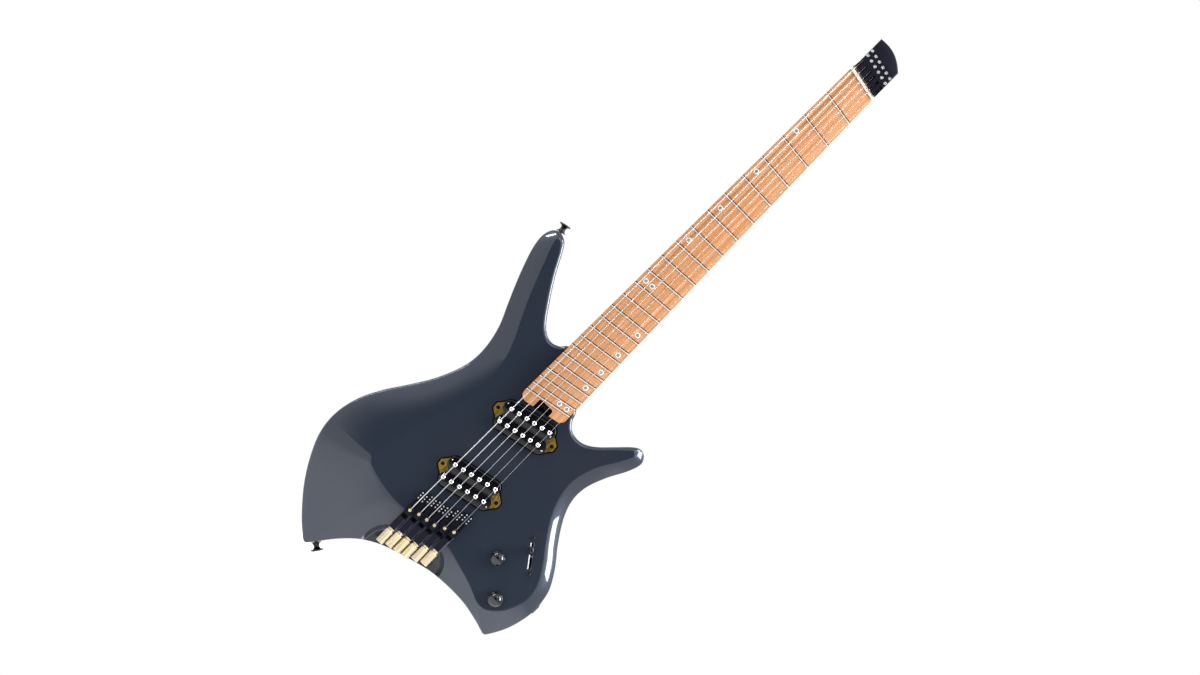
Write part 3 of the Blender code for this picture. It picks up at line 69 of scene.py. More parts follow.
MM = 0.001
FRONT, BACK, ALONG, ACROSS = (0, -1, 0), (0, 1, 0), (0, 0, 1), (1, 0, 0)

# Body: one slab of solid wood with a flat raised top, carved bevels round it and a hollow for the
# belly in the back. It is sprayed in graphite metallic lacquer, and then flatted and polished.
BODY_WIDTH, BODY_LENGTH, BODY_THICKNESS = 311.4, 444.2, 42.0
BODY_EDGE_RADIUS, BEVEL_CROWN, TOP_MARGIN = 2.8, 0.45, 1.2
RIM, GAP, OVERCUT = 0.4, 0.3, 4.0
# Outline point and the point of the flat top's edge that it faces, in ten-thousandths of the body's
# width and length, then the bevel's drop between them and the depth of the hollow in the back
BODY_OUTLINE = np.array([
    (-835, 2918, -842, 2842, 1.3, 0),
    (-1108, 2762, -1054, 2696, 1.3, 0),
    (-1413, 2686, -1409, 2610, 1.3, 0),
    (-1718, 2747, -1773, 2681, 1.3, 0),
    (-2030, 2938, -2114, 2889, 1.3, 0),
    (-2495, 3397, -2586, 3355, 1.3, 0),
    (-2964, 3922, -3059, 3884, 1.3, 0),
    (-3372, 4462, -3467, 4424, 1.3, 0),
    (-3597, 4698, -3690, 4624, 1.8, 0),
    (-3927, 4800, -3821, 4649, 4, 0),
    (-4200, 4701, -3870, 4581, 5.8, 0),
    (-4329, 4424, -3796, 4367, 6.8, 0),
    (-4265, 4052, -3597, 4007, 7, 0),
    (-4062, 3591, -3356, 3557, 7, 0),
    (-3773, 3062, -3083, 3062, 7, 0),
    (-3478, 2578, -2778, 2589, 7, 1.5),
    (-3166, 2067, -2441, 2094, 7.5, 4),
    (-2993, 1531, -2168, 1576, 8, 8),
    (-2980, 1036, -2049, 1036, 8, 10),
    (-3137, 574, -2071, 495, 8.5, 10),
    (-3500, 0, -2280, -68, 9.5, 8),
    (-3985, -552, -2537, -630, 11, 5),
    (-4528, -1126, -2794, -1238, 12, 2),
    (-4945, -1711, -2987, -1801, 12.5, 0),
    (-5148, -2364, -3125, -2319, 13, 0),
    (-5058, -2983, -3083, -2578, 13, 0),
    (-4689, -3602, -2826, -2690, 13, 0),
    (-4159, -4196, -2473, -2769, 13, 0),
    (-3516, -4728, -2152, -2819, 13, 0),
    (-3003, -5070, -1927, -2848, 13, 0),
    (-2714, -5200, -1766, -2864, 12.5, 0),
    (-2489, -5050, -1638, -2873, 12, 0),
    (-1991, -4604, -1381, -2882, 11, 0),
    (-1429, -4214, -1060, -2870, 8, 0),
    (-803, -3944, -642, -2848, 5, 0),
    (-161, -3778, -161, -2825, 4, 0),
    (578, -3629, 450, -2796, 4, 0),
    (1285, -3516, 1060, -2780, 4, 0),
    (2087, -3478, 1766, -2911, 5.4, 0),
    (2890, -3503, 2441, -3050, 7.4, 0),
    (3597, -3609, 2970, -3197, 9.5, 0),
    (3950, -3683, 3227, -3264, 10.9, 0),
    (4152, -3708, 3452, -3271, 12.5, 0),
    (4303, -3593, 3661, -3219, 12, 0),
    (4608, -3192, 4030, -2983, 10.5, 0),
    (4801, -2724, 4287, -2645, 9.5, 0),
    (4852, -2319, 4406, -2308, 9, 0),
    (4737, -1801, 4303, -1891, 8.5, 0),
    (4335, -1288, 3902, -1407, 8.5, 0),
    (3796, -799, 3372, -907, 8.5, 0),
    (3308, -254, 2874, -333, 8.5, 0),
    (3070, 225, 2633, 214, 8, 0),
    (3092, 698, 2627, 698, 8, 0),
    (3372, 1227, 2874, 1227, 7.5, 0),
    (3741, 1711, 3250, 1677, 7, 0),
    (3908, 2060, 3484, 1970, 6.5, 0),
    (3796, 2265, 3532, 2094, 6, 0),
    (3548, 2341, 3452, 2168, 3.8, 0),
    (3276, 2247, 3360, 2173, 1.8, 0),
    (2826, 1941, 2902, 1886, 1.3, 0),
    (2380, 1637, 2450, 1578, 1.3, 0),
    (2007, 1461, 2051, 1391, 1.3, 0),
    (1654, 1412, 1652, 1335, 1.3, 0),
    (1317, 1472, 1260, 1407, 1.3, 0),
    (1076, 1661, 984, 1620, 1.3, 0),
    (938, 1887, 848, 1844, 1.3, 0),
    (385, 2375, 308, 2321, 1.3, 0),
    (-257, 2724, -316, 2659, 1.3, 0),
])


def curve(points, steps):
    """A closed curve through the points: the cubic that leaves each point towards its neighbours."""
    before, after, beyond = (np.roll(points, shift, axis=0) for shift in (1, -1, -2))
    t = (np.arange(steps) / steps)[:, None, None]
    rows = 0.5 * (2 * points + (after - before) * t
                  + (2 * before - 5 * points + 4 * after - beyond) * t ** 2
                  + (3 * points - before - 3 * after + beyond) * t ** 3)
    return rows.transpose(1, 0, 2).reshape(-1, points.shape[1])


def lifted(plan, height):
    """Plan points (x, z) at a height over the back: (x, -height, z)."""
    plan = np.asarray(plan, float)
    return np.stack([plan[..., 0], -np.broadcast_to(height, plan.shape[:-1]), plan[..., 1]], axis=-1)


def placed(name, data):
    """An object in the scene for a mesh, a lamp or a camera."""
    made = bpy.data.objects.new(name, data)
    bpy.context.scene.collection.objects.link(made)
    return made


def skin(rows):
    """A closed shell over rings of points: each point joins the next in its ring and the same one in
    the next ring, both ends are capped, and rings that shrink to a point are merged there."""
    rows = np.asarray(rows, float) * MM
    count, sides = rows.shape[:2]
    first = np.arange(count - 1)[:, None] * sides
    here, after = np.arange(sides)[None], (np.arange(sides)[None] + 1) % sides
    quads = np.stack([first + here, first + after, first + sides + after, first + sides + here], axis=-1)
    caps = [np.arange(sides)[::-1].tolist(), ((count - 1) * sides + np.arange(sides)).tolist()]
    mesh = bpy.data.meshes.new("shell")
    mesh.from_pydata(rows.reshape(-1, 3).tolist(), [], quads.reshape(-1, 4).tolist() + caps)
    work = bmesh.new()
    work.from_mesh(mesh)
    bmesh.ops.remove_doubles(work, verts=work.verts, dist=1e-7)
    bmesh.ops.recalc_face_normals(work, faces=work.faces)
    work.to_mesh(mesh)
    work.free()
    return placed("shell", mesh)


def grown(outline, distance):
    """A plan outline moved outwards: each point goes along the bisector of its two sides' normals."""
    points = np.asarray(outline, float)
    sides = np.roll(points, -1, axis=0) - points
    area = np.sum(points[:, 0] * np.roll(points[:, 1], -1) - np.roll(points[:, 0], -1) * points[:, 1])
    normals = np.stack([sides[:, 1], -sides[:, 0]], axis=1) * np.sign(area)
    normals /= np.linalg.norm(normals, axis=1, keepdims=True)
    both = normals + np.roll(normals, 1, axis=0)
    return points + both / np.sum(both * normals, axis=1, keepdims=True) * distance


def rounded(corners, step=9):
    """A polygon of (x, z, radius) corners with each corner turned into an arc, in steps of degrees.

    The arc's centre lies on the bisector, radius / sine of half the opening from the corner.
    """
    parts = []
    for k, (x, z, radius) in enumerate(corners):
        here = np.array((x, z))
        back, ahead = (np.subtract(corners[j % len(corners)][:2], here) for j in (k - 1, k + 1))
        back, ahead = back / np.hypot(*back), ahead / np.hypot(*ahead)
        half = math.acos(np.clip(back @ ahead, -1, 1)) / 2
        if not radius:
            parts.append(here[None])
            continue
        centre = here + (back + ahead) / np.hypot(*(back + ahead)) * radius / math.sin(half)
        start, end = (here + way * radius / math.tan(half) - centre for way in (back, ahead))
        sweep = (math.pi - 2 * half) * np.sign(start[0] * end[1] - start[1] * end[0])
        turn = np.linspace(0, sweep, 2 + int(abs(sweep) / math.radians(step)))[:, None]
        parts.append(centre + start * np.cos(turn) + np.array((-start[1], start[0])) * np.sin(turn))
    return np.concatenate(parts)


def oblong(x0, x1, z0, z1, radius=0, far_radius=None, step=9):
    """A rectangle in plan. Its corners at z0 take the first radius, and those at z1 the second."""
    far = radius if far_radius is None else far_radius
    return rounded([(x0, z0, radius), (x1, z0, radius), (x1, z1, far), (x0, z1, far)], step)


def turned_plan(outline, centre, degrees):
    """Local plan points turned by an angle and moved to a centre."""
    c, s = math.cos(math.radians(degrees)), math.sin(math.radians(degrees))
    return np.asarray(outline, float)[:, :2] @ np.array([(c, s), (-s, c)]) + centre


def slab(outline, levels):
    """An outline carried through levels of (height, inset): the inset draws it in at that height."""
    return skin([lifted(grown(outline, -inset), height) for height, inset in levels])


def box(x0, x1, z0, z1, low, high):
    """A rectangle in plan carried straight from one height to another."""
    return slab(oblong(x0, x1, z0, z1), [(low, 0), (high, 0)])


def bar(section, z0, z1):
    """A section of (x, height) points carried along the neck."""
    return skin([[(x, -height, z) for x, height in section] for z in (z0, z1)])


def sunk(low, high, rim=RIM):
    """Levels of a cutter that opens by a small bevel where it leaves the surface."""
    return [(low, 0), (high - rim, 0), (high + OVERCUT, -rim - OVERCUT)]


def turned(profile, foot, axis=FRONT, sides=48):
    """Rings of (radius, distance, shape) round an axis from its foot, joined to a solid.

    A plain ring keeps its radius. "hex" reaches radius / cos(angle from the middle of the nearest flat).
    "cross" reaches its radius along two crossing arms, and between them 0.22 of it over the smaller of
    the angle's sine and cosine. A number is how many flutes there are: the ring dips by 3% of its
    radius, as a cosine of that many turns.
    """
    axis = Vector(axis).normalized()
    side = axis.orthogonal().normalized()
    other = np.array(axis.cross(side))
    axis, side = np.array(axis), np.array(side)
    turn = np.linspace(0, 2 * math.pi, sides, endpoint=False)
    cosine, sine = np.cos(turn), np.sin(turn)
    rings = []
    for radius, distance, *shape in profile:
        kind = shape[0] if shape else None
        reach = np.full(sides, float(radius))
        if kind == "hex":
            reach = radius / np.cos((turn + math.pi / 6) % (math.pi / 3) - math.pi / 6)
        elif kind == "cross":
            reach = np.minimum(radius, 0.22 * radius / np.maximum(1e-6, np.minimum(abs(cosine), abs(sine))))
        elif kind:
            reach = radius * (1 - 0.015 * (1 - np.cos(kind * turn)))
        rings.append(np.array(foot) + axis * distance
                     + reach[:, None] * (cosine[:, None] * side + sine[:, None] * other))
    return skin(rings)


def gathered(shapes):
    """Shapes that stay apart, as one object."""
    work = bmesh.new()
    for shape in shapes:
        work.from_mesh(shape.data)
        bpy.data.objects.remove(shape)
    mesh = bpy.data.meshes.new("group")
    work.to_mesh(mesh)
    work.free()
    return placed("group", mesh)


def studs(profile, places, height, sides, axis=FRONT):
    """The same turned shape at several places in plan, as one object."""
    return gathered([turned(profile, lifted(place, height), axis, sides) for place in places])


def carved(target, *tools, how="DIFFERENCE", finish=None):
    """The target with each tool cut away or joined on; the faces that a tool leaves take the finish."""
    for tool in tools:
        if finish:
            tool.data.materials.append(finish)
        change = target.modifiers.new("carve", "BOOLEAN")
        change.operation, change.object, change.solver = how, tool, "EXACT"
        change.material_mode = "TRANSFER"
        bpy.context.view_layer.update()
        result = target.evaluated_get(bpy.context.evaluated_depsgraph_get())
        mesh = bpy.data.meshes.new_from_object(result)
        target.modifiers.remove(change)
        target.data = mesh
        bpy.data.objects.remove(tool)
    return target


def settled(made, name, finish, node=None, body="guitar", edge=0.0, smooth=35):
    """Names a finished piece, gives it its finish, and lets it ride in place of its CAD node.

    Without a finish the piece keeps those that the carving gave its faces. An edge is the width of
    the small bevel that its sharp edges get.
    """
    made.name = made.data.name = name
    if finish:
        made.data.materials.clear()
        made.data.materials.append(finish)
    made.data.shade_smooth()
    made.data.set_sharp_from_angle(angle=math.radians(smooth))
    if edge:
        eased_edge = made.modifiers.new("edge", "BEVEL")
        eased_edge.width, eased_edge.segments = edge * MM, 2
        eased_edge.limit_method, eased_edge.angle_limit = "ANGLE", math.radians(40)
        eased_edge.harden_normals = True
    if body:
        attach(made, body)
    if node:
        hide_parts(node)
    return made


def colour(code):
    """An sRGB hex colour as linear red, green, blue and alpha."""
    values = np.array([int(code[i:i + 2], 16) for i in (1, 3, 5)]) / 255
    return (*np.where(values <= 0.04045, values / 12.92, ((values + 0.055) / 1.055) ** 2.4), 1)


def plug(tree, node, sockets):
    """Sets a node's sockets. Each takes a value, or a (node, output) pair that it is linked to."""
    for key, value in sockets.items():
        if isinstance(value, tuple) and isinstance(value[0], bpy.types.Node):
            tree.links.new(value[0].outputs[value[1]], node.inputs[key])
        else:
            node.inputs[key].default_value = value


def add(tree, kind, sockets=None, output=0, **settings):
    """Adds one node, and gives the pair of it and the output that others take from it."""
    made = tree.nodes.new("ShaderNode" + kind)
    for key, value in settings.items():
        setattr(made, key, value)
    plug(tree, made, sockets or {})
    return made, output


def surface(name, **steady):
    """A material and its shader, with the values that stay the same all over set on its sockets."""
    made = bpy.data.materials.new(name)
    made.use_nodes = True
    shader = made.node_tree.nodes["Principled BSDF"]
    plug(made.node_tree, shader, {key.replace("_", " "): value for key, value in steady.items()})
    return made, made.node_tree, shader


def ranged(tree, value, to, source=(0, 1), **settings):
    """A value carried evenly from one range to another, and held at its ends."""
    return add(tree, "MapRange", {"Value": value, "From Min": source[0], "From Max": source[1],
                                  "To Min": to[0], "To Max": to[1]}, **settings)


def mixed(tree, share, first, second, **settings):
    """The colour at a share of the way from the first to the second. A string is a hex colour."""
    first, second = (colour(end) if isinstance(end, str) else end for end in (first, second))
    return add(tree, "Mix", {0: share, 6: first, 7: second}, 2, data_type="RGBA", **settings)


def bumped(tree, height, depth, strength=1.0):
    """Bumps whose full height is a depth in millimetres."""
    return add(tree, "Bump", {"Height": height, "Distance": depth * MM, "Strength": strength})


def noise(tree, grain, detail=3.0, spread=0.2):
    """Noise whose lumps have a size along each axis, or one size, spread to run from 0 to 1."""
    scale = tuple(1 / (float(size) * MM) for size in np.broadcast_to(grain, 3))
    scaled = add(tree, "Mapping", {"Vector": add(tree, "TexCoord", output="Object"), "Scale": scale})
    lumps = add(tree, "TexNoise", {"Vector": scaled, "Scale": 1.0, "Detail": detail}, "Fac")
    return ranged(tree, lumps, (0, 1), (0.5 - spread, 0.5 + spread))


def worked(name, dark, light, grain, roughness, relief, **steady):
    """A finish whose colour, roughness and relief follow one noise of a given grain.

    Colour and roughness go from their first value to their second with the noise, and the relief is
    the depth of the bumps.
    """
    made, tree, shader = surface(name, **steady)
    lumps = noise(tree, grain)
    plug(tree, shader, {"Base Color": mixed(tree, lumps, dark, light),
                        "Roughness": ranged(tree, lumps, roughness),
                        "Normal": bumped(tree, lumps, relief)})
    return made


def lacquer_finish():
    """Metallic lacquer: aluminium flakes under a clear polished coat, so it glints and mirrors softly.

    Real flakes are 0.03 mm; they are drawn 0.5 mm wide to show, with a slow drift of tone under them.
    """
    made, tree, shader = surface("graphite metallic lacquer, sprayed and polished", Metallic=0.55,
                                 Specular_IOR_Level=0.15, Coat_Weight=1.0, Coat_Roughness=0.025, Coat_IOR=1.5)
    drift, flakes = noise(tree, (90, 90, 130), 2.0), noise(tree, 0.5, 1.0)
    base = mixed(tree, drift, "#252F3F", "#2D333F")
    flaked = mixed(tree, 0.3, base, mixed(tree, flakes, base, "#3C4553"))
    plug(tree, shader, {"Base Color": flaked, "Roughness": ranged(tree, flakes, (0.34, 0.44))})
    return made


lacquer = lacquer_finish()
# Conductive black paint, brushed into the cavities: dull, with faint brush marks
shield_paint = worked("shielding paint, brushed", "#0B0B0D", "#17171A", (1.5, 6, 1.5), (0.7, 0.85), 0.04)

NECK_TOP, HEEL_DEPTH, HEEL_END_Z, HEEL_BLEND = 45.5, 19.0, 124.0, 48.0
SCALE_LOW, SCALE_HIGH, SQUARE_FRET, SQUARE_FRET_Z = 673.1, 647.7, 7, 344.7
NUT_CENTRE_Z = SQUARE_FRET_Z + (SCALE_LOW + SCALE_HIGH) / 2 * (1 - 2 ** (-SQUARE_FRET / 12))
BOARD_END_Z, BOARD_END_SLOPE = 56.2, 0.205
NUT_WIDTH, BOARD_END_WIDTH, BOARD_CORNER_RADIUS = 41.2, 56.8, 8.5
# Centre, slant of the coils and slant of the base plate in degrees
PICKUPS = {"neck": ((0.8, 31.6), 12.4, 8.2), "bridge": ((0.6, -56.0), 13.0, 7.9)}
COIL_LENGTH, COIL_WIDTH, COIL_CORNER, COIL_SPACING = 66.6, 18.0, 8.5, 18.4
PLATE_CORNERS = [(-33, -11, 1), (33, -11, 1), (41.3, -3.5, 3.3), (41.3, 3.5, 3.3),
                 (33, 11, 1), (-33, 11, 1), (-41.3, 3.5, 3.3), (-41.3, -3.5, 3.3)]
PICKUP_ROOM, PICKUP_FLOOR = 1.1, 24.0
SCOOP_FLOOR, SCOOP_RUN, SCOOP_FILLET = 22.0, 6.0, 3.0
SCOOP_RIM = [(-48, -220, 0), (-43.5, -165, 30), (-31.5, -149, 30), (32.5, -128.5, 20), (50, -145, 28),
             (54.5, -220, 0)]
CONTROL_CAVITY = [(68, -92, 12), (76, -46, 12), (96, -33, 10), (129, -78, 12), (134, -112, 12),
                  (122, -143, 12), (92, -134, 12)]
COVER_LIP, COVER_THICKNESS, CONTROL_WALL = 5.0, 2.0, 5.0
KNOBS, KNOB_HOLE_RADIUS = {"volume": (81.5, -93.5), "tone": (111.5, -127.5)}, 4.3
SWITCH_PLACE, SWITCH_SLANT, SLOT_LENGTH, SLOT_WIDTH = (106.0, -65.7), -53.13, 28.0, 2.4
JACK_PLACE, JACK_HEIGHT, JACK_RADIUS, JACK_HOLE_RADIUS = (151.0, -104.5), 18.5, 9.2, 6.3
# Place in plan, axis and height
STRAP_BUTTONS = {"horn": ((-122.6, 213.2), (-0.20, 0, 0.98), 18.5),
                 "tail": ((-75.8, -222.2), (0.80, 0, -0.60), 16.0)}
STRAP_HOLE_RADIUS = 2.3
NECK_PLATE, NECK_PLATE_THICKNESS = [(-22, 61, 4), (22, 61, 4), (22, 86, 4), (-22, 112, 4)], 2.0


def board_half(z):
    """Half the board's width, which grows evenly from the nut to the end over the body."""
    along = (NUT_CENTRE_Z - z) / (NUT_CENTRE_Z - BOARD_END_Z)
    return (NUT_WIDTH + along * (BOARD_END_WIDTH - NUT_WIDTH)) / 2


def heel_outline(clearance=0.0):
    """The end of the board and heel, with rounded corners, running up the neck past the body."""
    mouth, half = HEEL_END_Z + HEEL_BLEND, board_half(BOARD_END_Z) + clearance
    radius, far = BOARD_CORNER_RADIUS + clearance, board_half(mouth) + clearance
    corners = [(side * half, BOARD_END_Z + BOARD_END_SLOPE * side * half - clearance, radius)
               for side in (-1, 1)]
    return rounded([*corners, (far, mouth, 0), (-far, mouth, 0)])


def coil_outline(width=COIL_WIDTH, room=0.0):
    """A coil in plan: a rectangle with round corners, and some room all round."""
    half, across = COIL_LENGTH / 2 + room, width / 2 + room
    return oblong(-half, half, -across, across, COIL_CORNER + room)


def plate_outline(room=0.0):
    """A pickup's base plate in plan, with some room all round."""
    return grown(rounded(PLATE_CORNERS), room)


def body_shell():
    """The uncut body: rings climb from the flat back round the edge and over the bevel.

    Both edges are circles, a quarter at the back and in front as far as the bevel's own tilt. Over the
    bevel, at a share s of the way in, the height gains drop * ((1 - crown) * s + crown * (1 - (1 - s)^2));
    the back's hollow fades as s^1.5 from the edge.
    """
    rows = curve(BODY_OUTLINE, 10)
    outer, inner = (rows[:, k:k + 2] / 10000 * (BODY_WIDTH, BODY_LENGTH) for k in (0, 2))
    drop, hollow = rows[:, 4], np.maximum(rows[:, 5], 0)
    run = np.linalg.norm(inner - outer, axis=1, keepdims=True)
    inward = (inner - outer) / run
    edge, top = outer + inward * BODY_EDGE_RADIUS, BODY_THICKNESS - drop
    tilt = np.arctan((1 + BEVEL_CROWN) * drop / (run[:, 0] - BODY_EDGE_RADIUS / 2))
    rings = [lifted(inner + inward * TOP_MARGIN, 0)]
    rings += [lifted(inner + (edge - inner) * s, hollow * s ** 1.5) for s in np.linspace(0, 1, 7)[:-1]]
    rings += [lifted(edge - inward * BODY_EDGE_RADIUS * math.sin(t),
                     hollow + BODY_EDGE_RADIUS * (1 - math.cos(t)))
              for t in np.linspace(0, math.pi / 2, 7)]
    for s in np.linspace(0, 1, 7):
        turn = s * (math.pi / 2 - tilt)
        edge = outer + inward * BODY_EDGE_RADIUS * (1 - np.cos(turn))[:, None]
        rings.append(lifted(edge, top - BODY_EDGE_RADIUS * (np.cos(tilt) - np.sin(turn))))
    for s in (0.12, 0.24, 0.36, 0.48, 0.6, 0.72, 0.84, 0.95, 1.0):
        gain = (1 - BEVEL_CROWN) * s + BEVEL_CROWN * (1 - (1 - s) ** 2)
        rings.append(lifted(edge + (inner - edge) * s, top + drop * gain))
    rings.append(lifted(inner + inward * TOP_MARGIN, BODY_THICKNESS))
    return skin(rings)


def make_body():
    """The shell less its pockets, scoop, cavities, bores and recesses, cut one after the other."""
    body, top = body_shell(), BODY_THICKNESS
    body.data.materials.append(lacquer)
    carved(body, slab(heel_outline(GAP), sunk(NECK_TOP - HEEL_DEPTH - GAP, top)), finish=shield_paint)
    for centre, slant, plate_slant in PICKUPS.values():
        coils = turned_plan(coil_outline(COIL_SPACING + COIL_WIDTH, PICKUP_ROOM), centre, slant)
        plate = turned_plan(plate_outline(PICKUP_ROOM), centre, plate_slant)
        carved(body, *(slab(plan, sunk(PICKUP_FLOOR, top)) for plan in (coils, plate)), finish=shield_paint)
    slope = SCOOP_RUN / (top - SCOOP_FLOOR)
    floor = [(SCOOP_FLOOR + SCOOP_FILLET * (1 - math.cos(t)),
              SCOOP_RUN - SCOOP_FILLET * slope + 2.2 * (1 - math.sin(t)))
             for t in np.linspace(0, math.pi / 2, 6)]
    carved(body,
           slab(rounded(SCOOP_RIM, 6), [*floor, (top - 0.6, 0.6 * slope), (top, -0.4), (top + OVERCUT, -5)]),
           finish=lacquer)
    cavity, ceiling = rounded(CONTROL_CAVITY), top - CONTROL_WALL
    carved(body, slab(cavity, [(-OVERCUT, 0), (ceiling, 0)]), finish=shield_paint)
    half, side = SLOT_LENGTH / 2, SLOT_WIDTH / 2
    jack, seat = lifted(JACK_PLACE, JACK_HEIGHT), JACK_RADIUS + 0.4
    return carved(
        body,
        slab(grown(cavity, COVER_LIP),
             [(-OVERCUT, -4.2), (-0.1, -GAP), (GAP, 0), (COVER_THICKNESS + GAP, 0)]),
        *(turned([(KNOB_HOLE_RADIUS, -OVERCUT), (KNOB_HOLE_RADIUS, 9)], lifted(place, ceiling))
          for place in KNOBS.values()),
        slab(turned_plan(oblong(-half, half, -side, side), SWITCH_PLACE, SWITCH_SLANT),
             [(ceiling - OVERCUT, 0), (top - 0.8, 0), (top + 1.2, -2.75)]),
        turned([(seat + OVERCUT, -OVERCUT), (seat, 0), (seat, 1.9)], jack, (-1, 0, 0)),
        turned([(JACK_HOLE_RADIUS, -OVERCUT), (JACK_HOLE_RADIUS, 25)], jack, (-1, 0, 0)),
        *(turned([(STRAP_HOLE_RADIUS, -12.3), (STRAP_HOLE_RADIUS, OVERCUT)], lifted(place, height), axis, 16)
          for place, axis, height in STRAP_BUTTONS.values()),
        slab(grown(rounded(NECK_PLATE), GAP),
             [(-OVERCUT, -4.2), (GAP, 0), (NECK_PLATE_THICKNESS + GAP, 0)]),
        finish=lacquer)


settled(make_body(), "carved_body", None, "body", smooth=30)

# Neck: roasted hard maple, sawn flat on top, shaped half round behind by hand and rubbed with oil.
# Its heel lies in the body's pocket and is held by four bolts through a plate in the back.
HEAD_X, HEAD_HALF_WIDTH, HEAD_START, HEAD_END = 0.7, 20.0, (10.3, 0.6), (51.6, 37.2)
HEAD_CURVE = [(16.0, 41.4), (10.5, 45.5), (4.0, 48.9), (-3.0, 51.0), (-11.0, 51.9)]
NECK_DEPTHS = (16.0, 14.2)
NOTCH_X, NOTCH_WIDTH, NOTCH_DEPTH = 1.0, 20.0, 10.0
TRUSS_HEIGHT, TRUSS_CHANNEL = 41.5, 2.8
NECK_BOLTS, NECK_BORE_RADIUS = [(-16, 67), (16, 67), (16, 83), (-16, 104)], 2.6


def line_z(ends, x):
    """The height along the neck at x of the straight line through two plan points."""
    (x0, z0), (x1, z1) = ends
    return z0 + (z1 - z0) * (x - x0) / (x1 - x0)


def slanted_line(number):
    """The line of a fret: at 1 - 2^(-number / 12) of each side's own scale, on the board's edges."""
    share = 1 - 2 ** (-number / 12)
    low = SQUARE_FRET_Z + SCALE_LOW * (1 - 2 ** (-SQUARE_FRET / 12) - share)
    high = SQUARE_FRET_Z + SCALE_HIGH * (1 - 2 ** (-SQUARE_FRET / 12) - share)
    return (-board_half(low), low), (board_half(high), high)


def head_start(x):
    """Where the head block begins: a slanted line behind the nut and a strip of board."""
    sides = [(HEAD_X + way * HEAD_HALF_WIDTH, NUT_CENTRE_Z + rise) for way, rise in zip((-1, 1), HEAD_START)]
    return line_z(sides, x)


def head_outline(inset=0.0):
    """The head block in plan; its far side is a fourth-power curve through a few points."""
    low, high = HEAD_X - HEAD_HALF_WIDTH, HEAD_X + HEAD_HALF_WIDTH
    bow = np.array([(high, HEAD_END[1]), *HEAD_CURVE, (low, HEAD_END[0])])
    t = np.linspace(high, low, 33)
    rise = np.polyval(np.polyfit(bow[:, 0], bow[:, 1], 4), t)
    return grown([(low, head_start(low)), (high, head_start(high)), *zip(t, NUT_CENTRE_Z + rise)], -inset)


def notch_outline():
    """The notch for the truss rod wheel: a rectangle from the board's end, round at its far corners."""
    left, right = NOTCH_X - NOTCH_WIDTH / 2, NOTCH_X + NOTCH_WIDTH / 2
    return oblong(left, right, 0, BOARD_END_Z + NOTCH_DEPTH, 0, 3)


def make_neck():
    """A loft of half round sections along the neck, squarer and deeper at the heel.

    Across a section the edge runs over a half turn t: x = -half * cos(t)^p and depth * sin(t)^p, where
    the power p grows from 1/7, nearly square, to 2/2.4, nearly round.
    """
    slim, far = HEEL_END_Z + HEEL_BLEND, NUT_CENTRE_Z + HEAD_END[0] + 4
    z = np.concatenate([[0, 60, HEEL_END_Z], np.linspace(HEEL_END_Z, slim, 14)[1:],
                        np.linspace(slim, NUT_CENTRE_Z, 24)[1:], np.linspace(NUT_CENTRE_Z + 4, far, 4)])
    blend = np.clip((z - HEEL_END_Z) / HEEL_BLEND, 0, 1)
    blend = blend * blend * (3 - 2 * blend)
    along = np.clip((z - slim) / (NUT_CENTRE_Z - slim), 0, 1)
    depth = HEEL_DEPTH + blend * (NECK_DEPTHS[0] + along * (NECK_DEPTHS[1] - NECK_DEPTHS[0]) - HEEL_DEPTH)
    power = 2 / (14 - 11.6 * blend)
    head = z > NUT_CENTRE_Z + 4.2
    middle, half = np.where(head, HEAD_X, 0), np.where(head, HEAD_HALF_WIDTH - GAP, board_half(z))
    turn = np.linspace(0, math.pi, 41)
    side = np.sign(np.cos(turn)) * abs(np.cos(turn)) ** power[:, None]
    x = middle[:, None] - half[:, None] * side
    height = NECK_TOP - depth[:, None] * np.sin(turn) ** power[:, None]
    neck = skin(np.stack([x, -height, np.broadcast_to(z[:, None], x.shape)], axis=-1))
    low, high, wide = NECK_TOP - HEEL_DEPTH - OVERCUT, NECK_TOP + OVERCUT, BOARD_END_WIDTH
    heel = heel_outline()[:-2]
    heel = [(-wide, -10), (-wide, heel[0][1]), *heel, (wide, heel[-1][1]), (wide, -10)]
    crown, end = head_outline(GAP)[2:], far + OVERCUT
    crown = [(wide, end), (wide, crown[0][1]), *crown, (-wide, crown[-1][1]), (-wide, end)]
    return carved(neck, *(slab(plan, [(low, 0), (high, 0)]) for plan in (heel, notch_outline(), crown)),
                  box(NOTCH_X - TRUSS_CHANNEL, NOTCH_X + TRUSS_CHANNEL, BOARD_END_Z, NUT_CENTRE_Z - 14,
                      TRUSS_HEIGHT - TRUSS_CHANNEL, high),
                  studs([(NECK_BORE_RADIUS, -OVERCUT), (NECK_BORE_RADIUS, 15.3)], NECK_BOLTS,
                        NECK_TOP - HEEL_DEPTH, 16))


def maple_finish(name, dark, light, streak, roughness):
    """Maple roasted brown through and through: a straight grain with darker streaks along the neck.

    The rays are 2 mm wide and 160 mm long, the streaks 5 mm and 260 mm, and pores are short dark
    flecks 0.35 mm wide, drawn twice their real width to show.
    """
    made, tree, shader = surface(name, Specular_IOR_Level=0.4)
    fibre, streaks = noise(tree, (2, 2, 160), 1.0, 0.22), noise(tree, (5, 5, 260), 2.0, 0.16)
    flecks = noise(tree, (0.35, 0.35, 6), 2.0, 0.12)
    share = add(tree, "Math", {0: streaks, 1: 0.55}, operation="MULTIPLY")
    streaked = mixed(tree, share, mixed(tree, fibre, dark, light), streak)
    grained = mixed(tree, 1.0, streaked, ranged(tree, flecks, (0.90, 1.04)), blend_type="MULTIPLY")
    plug(tree, shader, {"Base Color": grained, "Roughness": ranged(tree, fibre, roughness),
                        "Normal": bumped(tree, flecks, 0.05, 0.5)})
    return made


